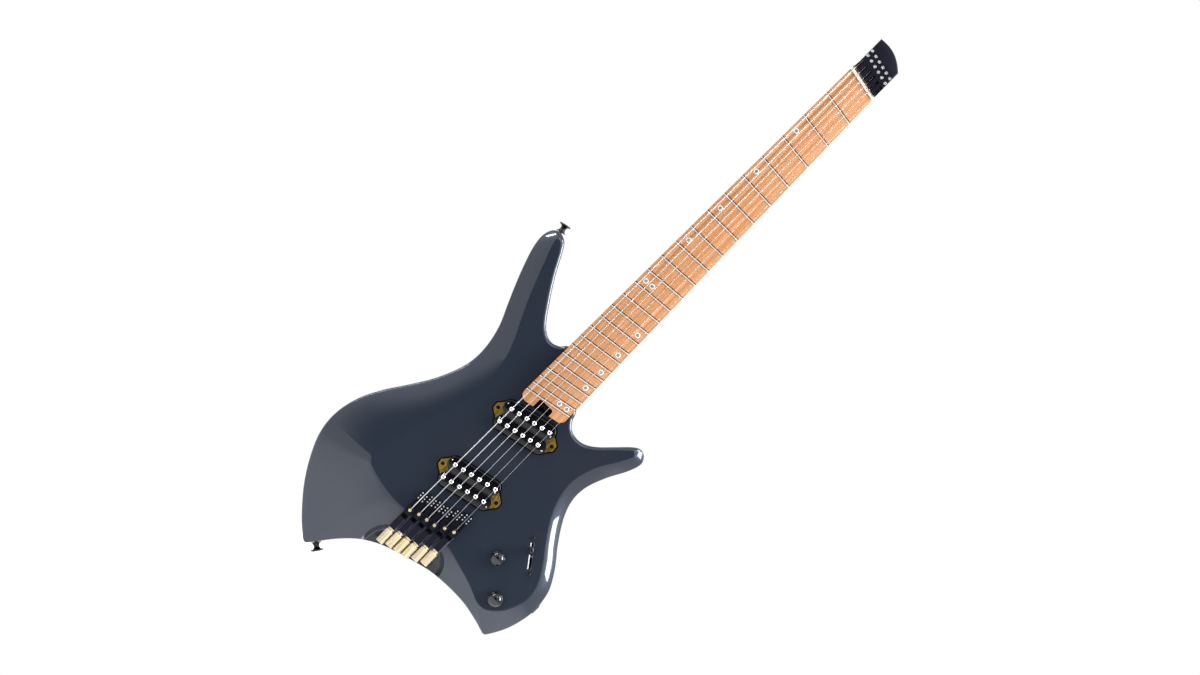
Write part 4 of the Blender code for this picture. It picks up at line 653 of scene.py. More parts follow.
neck_maple = maple_finish("roasted maple, oiled", "#C98A55", "#DDA46E", "#B47541", (0.42, 0.52))
settled(make_neck(), "shaped_neck", neck_maple, "neck", edge=0.4, smooth=40)

# Fingerboard: a strip of roasted maple planed to a 400 mm radius, with a slanted slot for each fret,
# glued to the neck. Its end over the body has rounded corners and a notch for the truss rod wheel.
BOARD_BOTTOM, BOARD_TOP, BOARD_RADIUS, FRET_COUNT = 45.8, 51.5, 400.0, 24
NUT_THICKNESS, NUT_SEAT, NUT_RISE = 3.8, 3.0, 2.1
NUT_LINE = slanted_line(0)


def camber(x):
    """How far the board falls away at x from its centre line: x^2 / (2 * radius)."""
    return np.asarray(x) ** 2 / (2 * BOARD_RADIUS)


def make_board():
    """A slab less its notch, all that lies over the arc of its radius, and the slot for the nut."""
    (low_x, _), (high_x, _) = NUT_LINE
    outline = [*heel_outline()[:-2], (high_x, head_start(high_x) - GAP), (low_x, head_start(low_x) - GAP)]
    above, wide = BOARD_TOP + OVERCUT, BOARD_END_WIDTH / 1.5
    x = np.linspace(-wide, wide, 41)
    seat = [(x, line_z(NUT_LINE, x) + side) for x, side in (
        (-wide, -GAP), (wide, -GAP), (wide, NUT_THICKNESS + GAP), (-wide, NUT_THICKNESS + GAP))]
    return carved(slab(outline, [(BOARD_BOTTOM, 0), (BOARD_TOP, 0)]),
                  slab(notch_outline(), [(BOARD_BOTTOM - OVERCUT, 0), (above, 0)]),
                  bar([(-wide, above), *zip(x, BOARD_TOP - camber(x)), (wide, above)], 0, NUT_CENTRE_Z + 50),
                  slab(seat, [(BOARD_TOP - NUT_SEAT - GAP, 0), (above, 0)]))


board_maple = maple_finish("roasted maple, planed", "#BB824B", "#DFA37D", "#B07A46", (0.46, 0.58))
settled(make_board(), "maple_fingerboard", board_maple, "fingerboard", edge=0.5, smooth=30)

# Frets: nickel silver wire with a domed crown, pressed into the slots, levelled and polished, with
# both ends filed to a slope. On the nut side of each fret a flat dark ribbon, flush with the board,
# is painted shade.
FRET_WIDTH, FRET_HEIGHT, FRET_END_SLOPE, FRET_INSET, FRET_SHADE_WIDTH = 1.5, 1.1, 0.8, 0.2, 1.1


def over_board(number, x, across, up):
    """Rings of points across a fret's line and up from the curved board, at each x along the line."""
    z = line_z(slanted_line(number), x)[:, None] + across
    height = (BOARD_TOP - camber(x))[:, None] + up
    return skin(np.stack([np.broadcast_to(x[:, None], z.shape), -height, z], axis=-1))


def make_fret(number):
    """A crown, half an ellipse across the wire, whose height drops to 0.3 of itself at both ends."""
    (x0, _), (x1, _) = slanted_line(number)
    start, end = x0 + FRET_INSET, x1 - FRET_INSET
    x = np.concatenate([[start], np.linspace(start + FRET_END_SLOPE, end - FRET_END_SLOPE, 15), [end]])
    rise = np.where((x > start) & (x < end), 1.0, 0.3)[:, None]
    turn = np.linspace(0, math.pi, 11)
    across = np.append(np.cos(turn) * FRET_WIDTH / 2, [-FRET_WIDTH / 2, FRET_WIDTH / 2])
    up = np.append(np.sin(turn) * FRET_HEIGHT, [-0.6, -0.6])
    return over_board(number, x, across, np.where(up > 0, up * rise, up))


def make_fret_shade(number):
    """A flat dark ribbon of painted shade, from under the fret to 1.1 mm past it, wider than real
    glue so that it shows.
    """
    (x0, _), (x1, _) = slanted_line(number)
    reach = FRET_WIDTH / 2 + FRET_SHADE_WIDTH
    return over_board(number, np.linspace(x0 + 0.1, x1 - 0.1, 17), np.array([0.2, reach, reach, 0.2]),
                      np.array([0.03, 0.03, -0.3, -0.3]))


# Polished nickel silver: a warm grey metal with fine marks across the wire
fret_metal = worked("nickel silver, polished", "#D6CCC2", "#EDE4DC", (0.4, 0.4, 3), (0.26, 0.36), 0.01,
                    Metallic=0.75)
# Painted shade: a dark flat ribbon on the board beside each fret stands in for the fret's shade.
fret_shade_paint = worked("painted shade beside frets, dark", "#1A100A", "#2C1C12", (0.8, 0.4, 0.4), (0.5, 0.7), 0.01)
for make, name, finish, slot in ((make_fret, "fret_wires", fret_metal, "bright_steel"),
                                 (make_fret_shade, "fret_shade_ribbons", fret_shade_paint, "roasted_board")):
    settled(gathered([make(number) for number in range(1, FRET_COUNT + 1)]), name, finish)

# Position dots: discs of mother of pearl 4 mm across in thin white rims 6 mm across, set in the board
# and ground flush with it, and small dark plastic dots in the board's edge on the low side.
DOTS = [(-15, 477), (-15, 414), (-15, 357), (-15, 307), (-17, 241.5), (-8, 242), (18.5, 192), (18.5, 161),
        (18.5, 134), (18.5, 110), (10, 77), (20, 78)]
SIDE_DOTS = (3, 5, 7, 9, 12, 15, 17, 19, 21, 24)


def discs(size, low, high):
    """Round inlays that follow the board's camber: rings about each dot, lifted by the curve there."""
    turn = np.linspace(0, 2 * math.pi, 40, endpoint=False)[:, None]
    made = []
    for place in DOTS:
        rings = []
        for radius, rise in [(0, low), (size, low), (size, high - 0.04), (size - 0.08, high), (0, high)]:
            plan = np.array(place) + radius * np.concatenate([np.cos(turn), np.sin(turn)], axis=1)
            rings.append(lifted(plan, BOARD_TOP - camber(plan[:, 0]) + rise))
        made.append(skin(rings))
    return gathered(made)


def pearl_finish():
    """Ground mother of pearl: dark, with soft clouds of blue and green 1.5 mm wide under a wet shine."""
    made, tree, shader = surface("mother of pearl, ground", Roughness=0.22, Coat_Weight=0.6,
                                 Coat_Roughness=0.05)
    clouds, bands = noise(tree, (1.5, 1.5, 2.2)), noise(tree, (0.6, 0.6, 3), 2.0)
    share = add(tree, "Math", {0: bands, 1: 0.4}, operation="MULTIPLY")
    plug(tree, shader,
         {"Base Color": mixed(tree, share, mixed(tree, clouds, "#33454F", "#77807A"), "#F4F3EF")})
    return made


def make_side_dots():
    """One dot in the middle between two frets, or two 8 mm apart at each octave."""
    made = []
    for number in SIDE_DOTS:
        middle = (slanted_line(number - 1)[0][1] + slanted_line(number)[0][1]) / 2
        for z in ((middle - 4, middle + 4) if number % 12 == 0 else (middle,)):
            made.append(turned([(0, 0), (1.1, 0), (1.1, 0.5), (0.9, 0.58), (0, 0.58)],
                               (-board_half(z) + 0.5, -49.2, z), (-1, 0, 0), 20))
    return gathered(made)


white_plastic = worked("cellulose acetate, ground", "#EDEBE6", "#F8F7F4", 1, (0.30, 0.38), 0.01)
dark_plastic = worked("black acetate, ground", "#121214", "#1D1D20", 1, (0.30, 0.40), 0.01)
settled(discs(3, -0.8, 0.05), "dot_rims", white_plastic)
settled(discs(2, -0.2, 0.09), "pearl_dots", pearl_finish())
settled(make_side_dots(), "side_dots", dark_plastic)

# Nut: a bar of bleached bone in a slanted slot, with a filed and rounded notch for each string.
STRINGS, STRING_GAUGES = range(6), (1.17, 0.91, 0.66, 0.43, 0.33, 0.25)
STRING_CENTRE_X, NUT_SPACING, BRIDGE_SPACING = 0.5, 7.2, 10.4
STRING_AT_NUT, STRING_AT_SADDLE, STRING_IN_HEAD, STRING_AT_BALL = 53.3, 56.0, 52.4, 53.1


def nut_x(index):
    """A string's place across the nut, where all strings are evenly spaced."""
    return STRING_CENTRE_X + (index - 2.5) * NUT_SPACING


def make_nut():
    """A section across the strings, with half round notches, carried through the bar's thickness.

    The section is drawn in a little at both faces, so that the upper edges are rounded.
    """
    (low_x, _), (high_x, _) = NUT_LINE
    top = BOARD_TOP + NUT_RISE
    turn = np.linspace(0, math.pi, 9)
    x, height = [[low_x]], [[top - camber(low_x)]]
    for index in STRINGS:
        middle, gauge = nut_x(index), STRING_GAUGES[index]
        radius, rim = max(gauge / 2 + 0.12, 0.3), top - camber(middle)
        floor = STRING_AT_NUT - camber(middle) - gauge / 2 - GAP + radius
        x.append(middle + np.concatenate([[-radius * 1.3], -radius * np.cos(turn), [radius * 1.3]]))
        height.append(np.concatenate([[rim], floor - radius * np.sin(turn), [rim]]))
    across = np.concatenate([*x, [high_x], [high_x, low_x]])
    height = np.concatenate([*height, [top - camber(high_x)]])
    rings = []
    for depth, inset in ((0, 0.4), (0.2, 0.1), (0.6, 0), (NUT_THICKNESS - 0.9, 0), (NUT_THICKNESS - 0.3, 0.2),
                         (NUT_THICKNESS, 0.7)):
        up = np.concatenate([height - inset, [BOARD_TOP - NUT_SEAT] * 2])
        rings.append(np.stack([across, -up, line_z(NUT_LINE, across) + depth], axis=-1))
    return skin(rings)


# Bleached bone: warm white with fine pores along the bar and a waxy polish
bone = worked("bone, bleached and polished", "#E9E5D8", "#F8F6EE", (2, 0.5, 0.5), (0.30, 0.42), 0.01,
              Subsurface_Weight=0.1, Subsurface_Scale=0.001)
settled(make_nut(), "bone_nut", bone, "nut", smooth=40)

# Head block: an aluminium block screwed to the end of the neck, milled with a groove for each string
# and anodised black. One row of socket screws clamps the strings, and the other holds the block.
HEAD_LOW, HEAD_TOP = NECK_TOP + GAP, NECK_TOP + GAP + 11.5
CLAMP_ROW, FIXING_ROW, GROOVE_LENGTH, GROOVE_HALF, GROOVE_FLOOR = 18.3, 25.4, 13.0, 1.7, HEAD_LOW + 5.4
HEAD_SCREW_RADIUS, HEAD_SEAT_RADIUS = 1.9, 2.4
COMPENSATION = (-1.5, -0.6, -1.7, -3.0, -0.2, 0.9)
BRIDGE_LINE = slanted_line(math.inf)


def unit_x(index):
    """A string's place across the bridge, where all strings are evenly spaced."""
    return STRING_CENTRE_X + (index - 2.5) * BRIDGE_SPACING


def saddle_z(index):
    """Where the string leaves its saddle: at its full scale, moved by its own compensation."""
    return line_z(BRIDGE_LINE, unit_x(index)) + COMPENSATION[index]


def string_x(index, z):
    """A string runs straight from its saddle over the nut and on into the head block."""
    nut_z = line_z(NUT_LINE, nut_x(index))
    share = np.minimum((nut_z - z) / (nut_z - saddle_z(index)), 1)
    return nut_x(index) + share * (unit_x(index) - nut_x(index))


def row_place(index, row):
    """Where a string passes a row of screws, which runs parallel to the head block's start."""
    x = string_x(index, head_start(nut_x(index)) + row)
    return x, head_start(x) + row


def make_head_block():
    """A slab with a bevelled top, less a groove, a tunnel and two screw seats on each string's line."""
    top, half = HEAD_TOP, GROOVE_HALF
    block = slab(head_outline(), [(HEAD_LOW, 0), (top - 1.1, 0), (top - 0.3, 0.5), (top, 1.3)])
    grooves, tunnels, seats = [], [], []
    for index in STRINGS:
        x, clamp_z = row_place(index, CLAMP_ROW)
        start = head_start(x)
        groove = oblong(x - half, x + half, start - OVERCUT, start + GROOVE_LENGTH, 0, half * 0.98, 15)
        grooves.append(slab(groove, sunk(GROOVE_FLOOR, top)))
        tunnels.append(box(x - 1.2, x + 1.2, start - OVERCUT, clamp_z + HEAD_SCREW_RADIUS, GROOVE_FLOOR - 0.2,
                           GROOVE_FLOOR + 3.0))
        for place, depth in (((x, clamp_z), 2.6), (row_place(index, FIXING_ROW), 2.2)):
            seats.append(turned([(HEAD_SEAT_RADIUS, -depth), (HEAD_SEAT_RADIUS, -0.3), (3.1, 0.4), (3.1, 2)],
                                lifted(place, top), sides=32))
    return carved(block, *(gathered(tools) for tools in (grooves, tunnels, seats)))


def socket_screw(place, seat, head, rise, shank=0, sides=36):
    """A socket head screw standing on its seat: bevelled rim, a six-sided socket, and a shank below."""
    socket, stem = head * 0.52, head * 0.58
    foot = [(0, -shank), (stem, -shank), (stem, 0)] if shank else [(0, 0)]
    return turned([*foot, (head * 0.97, 0), (head, 0.1), (head, rise - head * 0.12), (head * 0.9, rise),
                   (socket * 1.12, rise, "hex"), (socket, rise - head * 0.07, "hex"),
                   (socket, rise - head * 0.7, "hex"), (0, rise - head * 0.85)],
                  lifted(place, seat), sides=sides)


# Black anodised aluminium, bead blasted first: satin, with grains of 0.25 mm that only just show
black_anodised = worked("black anodised aluminium, bead blasted", "#0E0F19", "#1B1C2E", 0.25, (0.34, 0.46),
                        0.012, Metallic=0.7)
# Stainless steel, turned on a lathe: bright, with faint rings a hundredth of a millimetre deep
turned_steel = worked("stainless steel, turned", "#D0D2D6", "#EFF0F2", (0.6, 0.3, 0.6), (0.28, 0.40), 0.01,
                      Metallic=1.0)
settled(make_head_block(), "head_clamp_block", black_anodised, "head_block", edge=0.15,
        smooth=40)
for index in STRINGS:
    settled(socket_screw(row_place(index, CLAMP_ROW), HEAD_TOP - 1.7, HEAD_SCREW_RADIUS, 2.0, 2.2),
            f"clamp_screw_{index + 1}", turned_steel, f"string_lock_screw_{index + 1}",
            f"lock_screw_{index + 1}")
settled(gathered([socket_screw(row_place(index, FIXING_ROW), HEAD_TOP - 2.2, HEAD_SCREW_RADIUS, 2.4)
                  for index in STRINGS]), "head_fixing_screws", turned_steel)

# Strings: three wound with nickel wire on a steel core and three plain, clamped in the head block,
# bent over the nut and saddle, and hooked to the string carriages by their ball ends.
SADDLE_CONTACT, BALL_Z = 7.0, 26.0
BALL_PROFILE = [(0.5, 0.6), (0.5, 0), (1.6, 0), (1.8, 0.2), (1.8, 1.1), (1.3, 1.4), (1.3, 2.2), (1.8, 2.5),
                (1.8, 3.4), (1.6, 3.6), (0.7, 3.6), (0.5, 3.4), (0.5, 3.0)]


def unit_front(index):
    """The front of a bridge unit, which stays the same distance ahead of its saddle's crown."""
    return saddle_z(index) + SADDLE_CONTACT


def make_string(index):
    """Rings of radius half the gauge along a path of straight runs from the clamp to the ball end.

    Over the saddle the path is a small arc: its height falls by the square of the distance, / 12 mm.
    """
    x, radius = nut_x(index), STRING_GAUGES[index] / 2
    nut_z, contact = line_z(NUT_LINE, x), saddle_z(index)
    at_nut, at_saddle = STRING_AT_NUT - camber(x), STRING_AT_SADDLE - camber(unit_x(index))
    over = np.array([1.2, 0.6, 0, -0.6, -1.2])
    free = np.linspace(nut_z, contact + over[0], 26)[1:-1]
    z = np.concatenate([[row_place(index, CLAMP_ROW)[1] + 0.6, head_start(x), nut_z + NUT_THICKNESS, nut_z],
                        free, contact + over, [unit_front(index) - BALL_Z + 1.5]])
    height = np.concatenate([[STRING_IN_HEAD, STRING_IN_HEAD + GAP, at_nut - 0.1, at_nut],
                             at_nut + (at_saddle - at_nut) * (nut_z - free) / (nut_z - contact),
                             at_saddle - over ** 2 / 12, [STRING_AT_BALL]])
    turn = np.linspace(0, 2 * math.pi, 12, endpoint=False)
    across = string_x(index, z)[:, None] + radius * np.cos(turn)
    up = height[:, None] + radius * np.sin(turn)
    return skin(np.stack([across, -up, np.broadcast_to(z[:, None], up.shape)], axis=-1))


def wound_finish():
    """Nickel wire wound on a core: ridges round the string, 0.5 mm apart so that they show, where
    real ones are a third of that. The colour is painted lighter on the ridges and darker between them,
    as painted highlight and shade, and the ridges are bumped too."""
    made, tree, shader = surface("nickel wound wire", Metallic=1.0, Roughness=0.34)
    turns = add(tree, "TexWave", {"Vector": add(tree, "TexCoord", output="Object"), "Distortion": 0.0,
                                  "Scale": 2 * math.pi / (0.5 * MM) / 20}, "Fac", bands_direction="Z")
    # Painted highlight and shade: the wave makes each ridge lighter and each groove darker in colour.
    plug(tree, shader,
         {"Base Color": mixed(tree, turns, "#BDBEC2", "#ECECEE"), "Normal": bumped(tree, turns, 0.1, 0.3)})
    return made


wound_wire = wound_finish()
plain_wire = worked("tinned steel wire, drawn", "#D4D6DA", "#F0F1F4", (0.2, 0.2, 4), (0.30, 0.38), 0.002,
                    Metallic=1.0)
# Yellow brass, turned and left bare: ball ends
ball_brass = worked("brass, turned", "#E6D894", "#F8F0C4", 0.5, (0.22, 0.34), 0.01, Metallic=0.8)
for index in STRINGS:
    number, x, ball_z = index + 1, nut_x(index), unit_front(index) - BALL_Z
    wire = settled(make_string(index), f"string_wire_{number}", wound_wire if index < 3 else plain_wire,
                   f"string_{number}", None)
    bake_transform(wire)
    barrel = turned(BALL_PROFILE, lifted((unit_x(index), ball_z), STRING_AT_BALL - 1.8), sides=32)
    settled(barrel, f"ball_end_{number}", ball_brass, body=f"carriage_{number}")

# Bridge: six separate units. Each is an aluminium rail milled to a channel and anodised black, with a
# saddle that slides in it, a carriage that draws the ball end back, and a bored block for the tuner.
UNIT_WIDTH, UNIT_LENGTH, UNIT_WALL = 9.3, 54.0, 1.2
UNIT_BASE = BODY_THICKNESS + GAP
CHANNEL_FLOOR, WALL_TOP, BAY_TOP, BLOCK_TOP = (UNIT_BASE + rise for rise in (2.5, 8.8, 8.2, 9.8))
CHANNEL_LENGTH, SADDLE_BAY, ROD_HEIGHT, ROD_RADIUS = 37.0, 14.2, 48.5, 1.7
SLIDER_HALF = UNIT_WIDTH / 2 - UNIT_WALL - GAP
SADDLE_START, SADDLE_LENGTH, SADDLE_HALF, SADDLE_TOP = 0.8, 11.0, 4.5, BAY_TOP + GAP + 2.4


def rod_bore(x, z, *ends):
    """A round bore for a tuning rod, from behind z and on along the neck."""
    rings = [(ROD_RADIUS + GAP, end) for end in (-OVERCUT, *ends)]
    return turned(rings, lifted((x, z), ROD_HEIGHT), ALONG, 20)


def make_rail(index):
    """An open channel with a bored block behind it, and a bevel milled along one long side."""
    x, front = unit_x(index), unit_front(index)
    half, inside, rear = UNIT_WIDTH / 2, UNIT_WIDTH / 2 - UNIT_WALL, front - UNIT_LENGTH
    channel_end, ahead, above = front - CHANNEL_LENGTH, front + OVERCUT, BLOCK_TOP + OVERCUT
    rail = box(x - half, x + half, rear, front, UNIT_BASE, BLOCK_TOP)
    rail.data.materials.append(black_anodised)
    channel = oblong(x - inside, x + inside, channel_end, ahead, 1.2, 0, 30)
    carved(rail, slab(channel, [(CHANNEL_FLOOR, 0), (above, 0)]),
           box(x - 10, x + 10, channel_end, ahead, WALL_TOP, above),
           box(x - 10, x + 10, front - SADDLE_BAY, ahead, BAY_TOP, above),
           rod_bore(x, rear, 16.5, 21), finish=black_anodised)
    wedge = [(x + half - 2, BLOCK_TOP + 0.2), (x + half + 1, BLOCK_TOP - 2.6),
             (x + half + 1, BLOCK_TOP + 0.2)]
    return carved(rail, bar(wedge, rear - 1, channel_end + 6.2), finish=milled_edge)


def saddle_screw_places(index):
    """Three small screws along each side of a saddle."""
    x, start = unit_x(index), unit_front(index) - SADDLE_START
    return [(x + side * 3.1, start - back) for side in (-1, 1) for back in (1.4, 5.0, 8.6)]


def make_saddle(index):
    """A plate on a tongue, with a ridge whose top is rounded along the string as a half circle."""
    x, contact = unit_x(index), saddle_z(index)
    start = unit_front(index) - SADDLE_START
    end, low, high = start - SADDLE_LENGTH, BAY_TOP + GAP, SADDLE_TOP
    crown = STRING_AT_SADDLE - camber(x) - STRING_GAUGES[index] / 2 - 0.1
    plate = slab(oblong(x - SADDLE_HALF, x + SADDLE_HALF, end, start, 0.7, 1.6, 20),
                 [(low, 0), (high - 0.3, 0), (high, 0.3)])
    tongue = box(x - SLIDER_HALF, x + SLIDER_HALF, end + GAP, start - GAP, CHANNEL_FLOOR + GAP, low + GAP)
    turn = np.linspace(0, math.pi, 13)
    z, height = contact + 3 * np.cos(turn), high - GAP + (crown - high + GAP) * np.sin(turn)
    rows = [lifted(np.stack([np.full(13, x + side * 1.9), z], axis=1),
                   np.where(np.arange(13) % 12, height - drop, height))
            for side, drop in ((-1, 0.3), (-0.8, 0), (0.8, 0), (1, 0.3))]
    carved(plate, tongue, skin(rows), how="UNION")
    return carved(plate, studs([(1, -1.2), (1, 2)], saddle_screw_places(index), high, 20))


def make_carriage(index):
    """A block with a pocket for the ball end, a slot for the string ahead of it and a bore behind."""
    x, ball_z, start = unit_x(index), unit_front(index) - BALL_Z, unit_front(index) - 22
    end, top, pocket_floor, pocket, slot = start - 10, UNIT_BASE + 12.2, STRING_AT_BALL - 2.1, 2.1, 0.85
    block = slab(oblong(x - SLIDER_HALF, x + SLIDER_HALF, end, start, 0.8, 1.2, 20),
                 [(CHANNEL_FLOOR + GAP, 0), (top - 0.6, 0), (top, 0.6)])
    return carved(block, slab(oblong(x - pocket, x + pocket, ball_z - pocket, ball_z + pocket, 2, 2, 15),
                              sunk(pocket_floor, top, 0.3)),
                  slab(oblong(x - slot, x + slot, ball_z, start + OVERCUT), sunk(pocket_floor, top, 0.2)),
                  rod_bore(x, end, 14))


# Anodised and then milled along one side, so the cut shows the bare grey metal
milled_edge = worked("aluminium, milled and dyed", "#54566E", "#6F718A", (0.4, 0.4, 4), (0.24, 0.38), 0.005,
                     Metallic=1.0)
for index in STRINGS:
    number = index + 1
    block, carriage = f"saddle_block_{number}", f"carriage_{number}"
    settled(make_rail(index), f"bridge_rail_{number}", None, f"bridge_base_{number}", edge=0.3,
            smooth=40)
    settled(make_saddle(index), f"string_saddle_{number}", black_anodised, f"saddle_{number}",
            block, edge=0.12, smooth=40)
    grubs = [socket_screw(place, SADDLE_TOP - 1, 0.85, 1.3, sides=24) for place in saddle_screw_places(index)]
    settled(gathered(grubs), f"saddle_screws_{number}", turned_steel, body=block)
    settled(make_carriage(index), f"pull_block_{number}", black_anodised,
            f"string_carriage_{number}", carriage, edge=0.15, smooth=40)

# Tuning knobs: turned from aluminium with fine flutes for grip, and anodised a pale gold. A steel rod
# with a fine thread runs from each through the rail's block into the string carriage.
KNOB_GAP, COLLAR, KNOB_RADIUS, FLUTES, THREAD_PITCH, THREAD_DEPTH = 0.4, 3.9, 4.75, 24, 0.7, 0.24


def tuner_seat(index):
    """The foot of a tuning knob, just behind its rail and on the rod's axis."""
    return lifted((unit_x(index), unit_front(index) - UNIT_LENGTH - KNOB_GAP), ROD_HEIGHT)


def make_tuner_knob(index):
    """A fluted barrel behind a collar; six holes for a turning pin lie round the collar's neck."""
    seat, r = tuner_seat(index), KNOB_RADIUS
    knob = turned([(0, 0), (COLLAR - 0.2, 0), (COLLAR, 0.2), (COLLAR, 1.9), (COLLAR - 0.2, 2.1), (3.4, 2.2),
                   (3.2, 2.6), (3.4, 2.9), (r - 0.3, 3.1), (r, 3.6), (r, 4, FLUTES), (r, 19.2, FLUTES),
                   (r, 19.6), (r, 20), (r - 0.8, 20.8), (r - 1.3, 20.85), (r - 1.6, 20.6), (0, 20.6)],
                  seat, (0, 0, -1), 96)
    holes = []
    for turn in np.arange(6) * math.pi / 3 + math.pi / 2:
        way = np.array((math.cos(turn), -math.sin(turn), 0))
        holes.append(turned([(0.8, 0), (0.8, OVERCUT)], seat + np.array((0, 0, -2.4)) + 2.2 * way, way, 16))
    return carved(knob, gathered(holes))


def make_rod(index):
    """A threaded rod: its radius goes up and down with the distance, once for each turn's pitch."""
    distance = np.arange(0, 28.5, THREAD_PITCH / 4)
    radius = ROD_RADIUS - THREAD_DEPTH / 2 * (1 - np.cos(distance / THREAD_PITCH * 2 * math.pi))
    return turned([(0, 0), *zip(radius, distance), (0, distance[-1])], tuner_seat(index), ALONG, 16)


def champagne_finish():
    """Pale gold anodised aluminium: satin metal with worn streaks along the flutes."""
    made, tree, shader = surface("champagne anodised aluminium, turned", Metallic=0.35, Coat_Weight=0.25,
                                 Coat_Roughness=0.15)
    streaks, clouds = noise(tree, (1.1, 1.1, 50), 2.0), noise(tree, 12, 1.0)
    streaked = mixed(tree, 1.0, mixed(tree, clouds, "#E2D69F", "#EAD5BA"),
                     ranged(tree, streaks, (0.74, 1.08), (0.3, 0.7)), blend_type="MULTIPLY")
    plug(tree, shader, {"Base Color": streaked, "Roughness": ranged(tree, streaks, (0.26, 0.34))})
    return made


champagne = champagne_finish()
blackened_steel = worked("steel, black oxide", "#101012", "#202024", 0.8, (0.28, 0.42), 0.008, Metallic=0.8)
for index in STRINGS:
    number, tuner = index + 1, f"tuner_{index + 1}"
    settled(make_tuner_knob(index), f"tuning_knob_{number}", champagne,
            f"tuner_knob_{number}", tuner, smooth=38)
    settled(make_rod(index), f"tuning_rod_{number}", blackened_steel, body=tuner)

# Pickups: two humbuckers. Each has two moulded bobbins wound with fine wire and taped, twelve
# adjustable pole screws, and a rolled brass plate whose ears are screwed down into the body.
COIL_TOP, COIL_BOTTOM, PLATE_TOP, PLATE_BOTTOM = 49.5, 37.8, 37.5, 36.3
POLE_RADIUS, EAR_X = 2.5, 37.0
BOBBIN_LEVELS = [(COIL_BOTTOM, 0.3), (COIL_BOTTOM + 0.3, 0), (COIL_BOTTOM + 1.2, 0), (COIL_BOTTOM + 1.2, 2.8),
                 (COIL_TOP - 2.2, 2.8), (COIL_TOP - 2.2, 0), (COIL_TOP - 0.7, 0), (COIL_TOP - 0.3, 0.12),
                 (COIL_TOP - 0.1, 0.4), (COIL_TOP, 0.8)]
POLE_HOLE = [(POLE_RADIUS + 0.2, -0.6), (POLE_RADIUS + 0.2, -0.1), (POLE_RADIUS + 0.5, 0.3),
             (POLE_RADIUS + 0.5, 2)]
POLE_SCREW = [(0, -3), (1.9, -3), (1.9, -0.8), (POLE_RADIUS, -0.6), (POLE_RADIUS, 0.3),
              (POLE_RADIUS - 0.2, 0.5), (1.8, 0.85), (1.2, 1.15, "hex"), (1.1, 1.1, "hex"), (1, -0.6, "hex"),
              (0, -1)]
BOBBIN_PIN = [(0, -1), (0.7, -1), (0.7, 0.2), (0.4, 0.4), (0, 0.45)]
HEIGHT_SCREW = [(0, -13.3), (1.3, -13.3), (1.3, 0.2), (2.1, 0.3), (2.2, 0.7), (1.9, 1.5), (1.4, 1.8),
                (1.2, 1.85, "cross"), (1.1, 1.2, "cross"), (0.4, 0.4)]


def pole_places(name, shift):
    """Where each string crosses the middle of a coil, found by repeating the crossing three times."""
    (x, z), slant, _ = PICKUPS[name]
    ends = turned_plan([(-30, shift), (30, shift)], (x, z), slant)
    places = []
    for index in STRINGS:
        pole_z = z
        for _ in range(3):
            pole_z = line_z(ends, string_x(index, pole_z))
        places.append((string_x(index, pole_z), pole_z))
    return places


# ABS, moulded in a polished tool: black with a soft gloss and an almost flat face
moulded_black = worked("ABS, moulded black", "#07070B", "#0D0D13", 1.2, (0.10, 0.15), 0.002,
                       Specular_IOR_Level=0.5)
coil_tape = worked("acetate tape, black", "#101012", "#1C1B1E", (0.4, 4, 0.4), (0.55, 0.7), 0.02)
rolled_brass = worked("brass, rolled sheet", "#8F6E2C", "#D2AC57", (0.7, 0.7, 8), (0.24, 0.42), 0.015,
                      Metallic=1.0)
nickel_plate = worked("nickel plated steel", "#CFD0D2", "#E9E9EA", 1.2, (0.12, 0.22), 0.005, Metallic=1.0)
for name, (centre, slant, plate_slant) in PICKUPS.items():
    for side, place in ((1, "front"), (-1, "rear")):
        shift, coil = side * COIL_SPACING / 2, f"{name}_{place}"
        outline, spots = turned_plan(coil_outline() + (0, shift), centre, slant), pole_places(name, shift)
        bobbin = carved(slab(outline, BOBBIN_LEVELS), studs(POLE_HOLE, spots, COIL_TOP, 32))
        settled(bobbin, f"{coil}_bobbin", moulded_black, f"{name}_pickup_{place}_coil",
                smooth=38)
        tape = slab(outline, [(COIL_BOTTOM + 1.3, 1.2), (COIL_TOP - 2.3, 1.2)])
        settled(tape, f"{coil}_winding", coil_tape)
        settled(studs(POLE_SCREW, spots, COIL_TOP, 36), f"{coil}_poles", nickel_plate,
                smooth=40)
        pins = turned_plan([(way * 29.6, shift - way * 3.5) for way in (-1, 1)], centre, slant)
        settled(studs(BOBBIN_PIN, pins, COIL_TOP, 16), f"{coil}_bobbin_pins", nickel_plate)
    ears = turned_plan([(-EAR_X, 0), (EAR_X, 0)], centre, plate_slant)
    plate = slab(turned_plan(plate_outline(), centre, plate_slant),
                 [(PLATE_BOTTOM, 0.2), (PLATE_BOTTOM + 0.2, 0), (PLATE_TOP - 0.2, 0), (PLATE_TOP, 0.2)])
    carved(plate, studs([(1.6, -2), (1.6, OVERCUT)], ears, PLATE_BOTTOM, 24))
    settled(plate, f"{name}_brass_plate", rolled_brass, f"{name}_pickup_base_plate", smooth=40)
    settled(studs(HEIGHT_SCREW, ears, PLATE_TOP, 40), f"{name}_height_screws", blackened_steel,
            smooth=40)

# Controls: two domed knobs, turned in brass and plated black, on the shafts of two potentiometers.
# They stand 0.4 mm clear of the lacquer, which shows as a dark ring.
DOME_RADIUS, DOME_START, DOME_HEIGHT, DOME_CLEARANCE = 9.1, 4.2, 8.8, 0.4


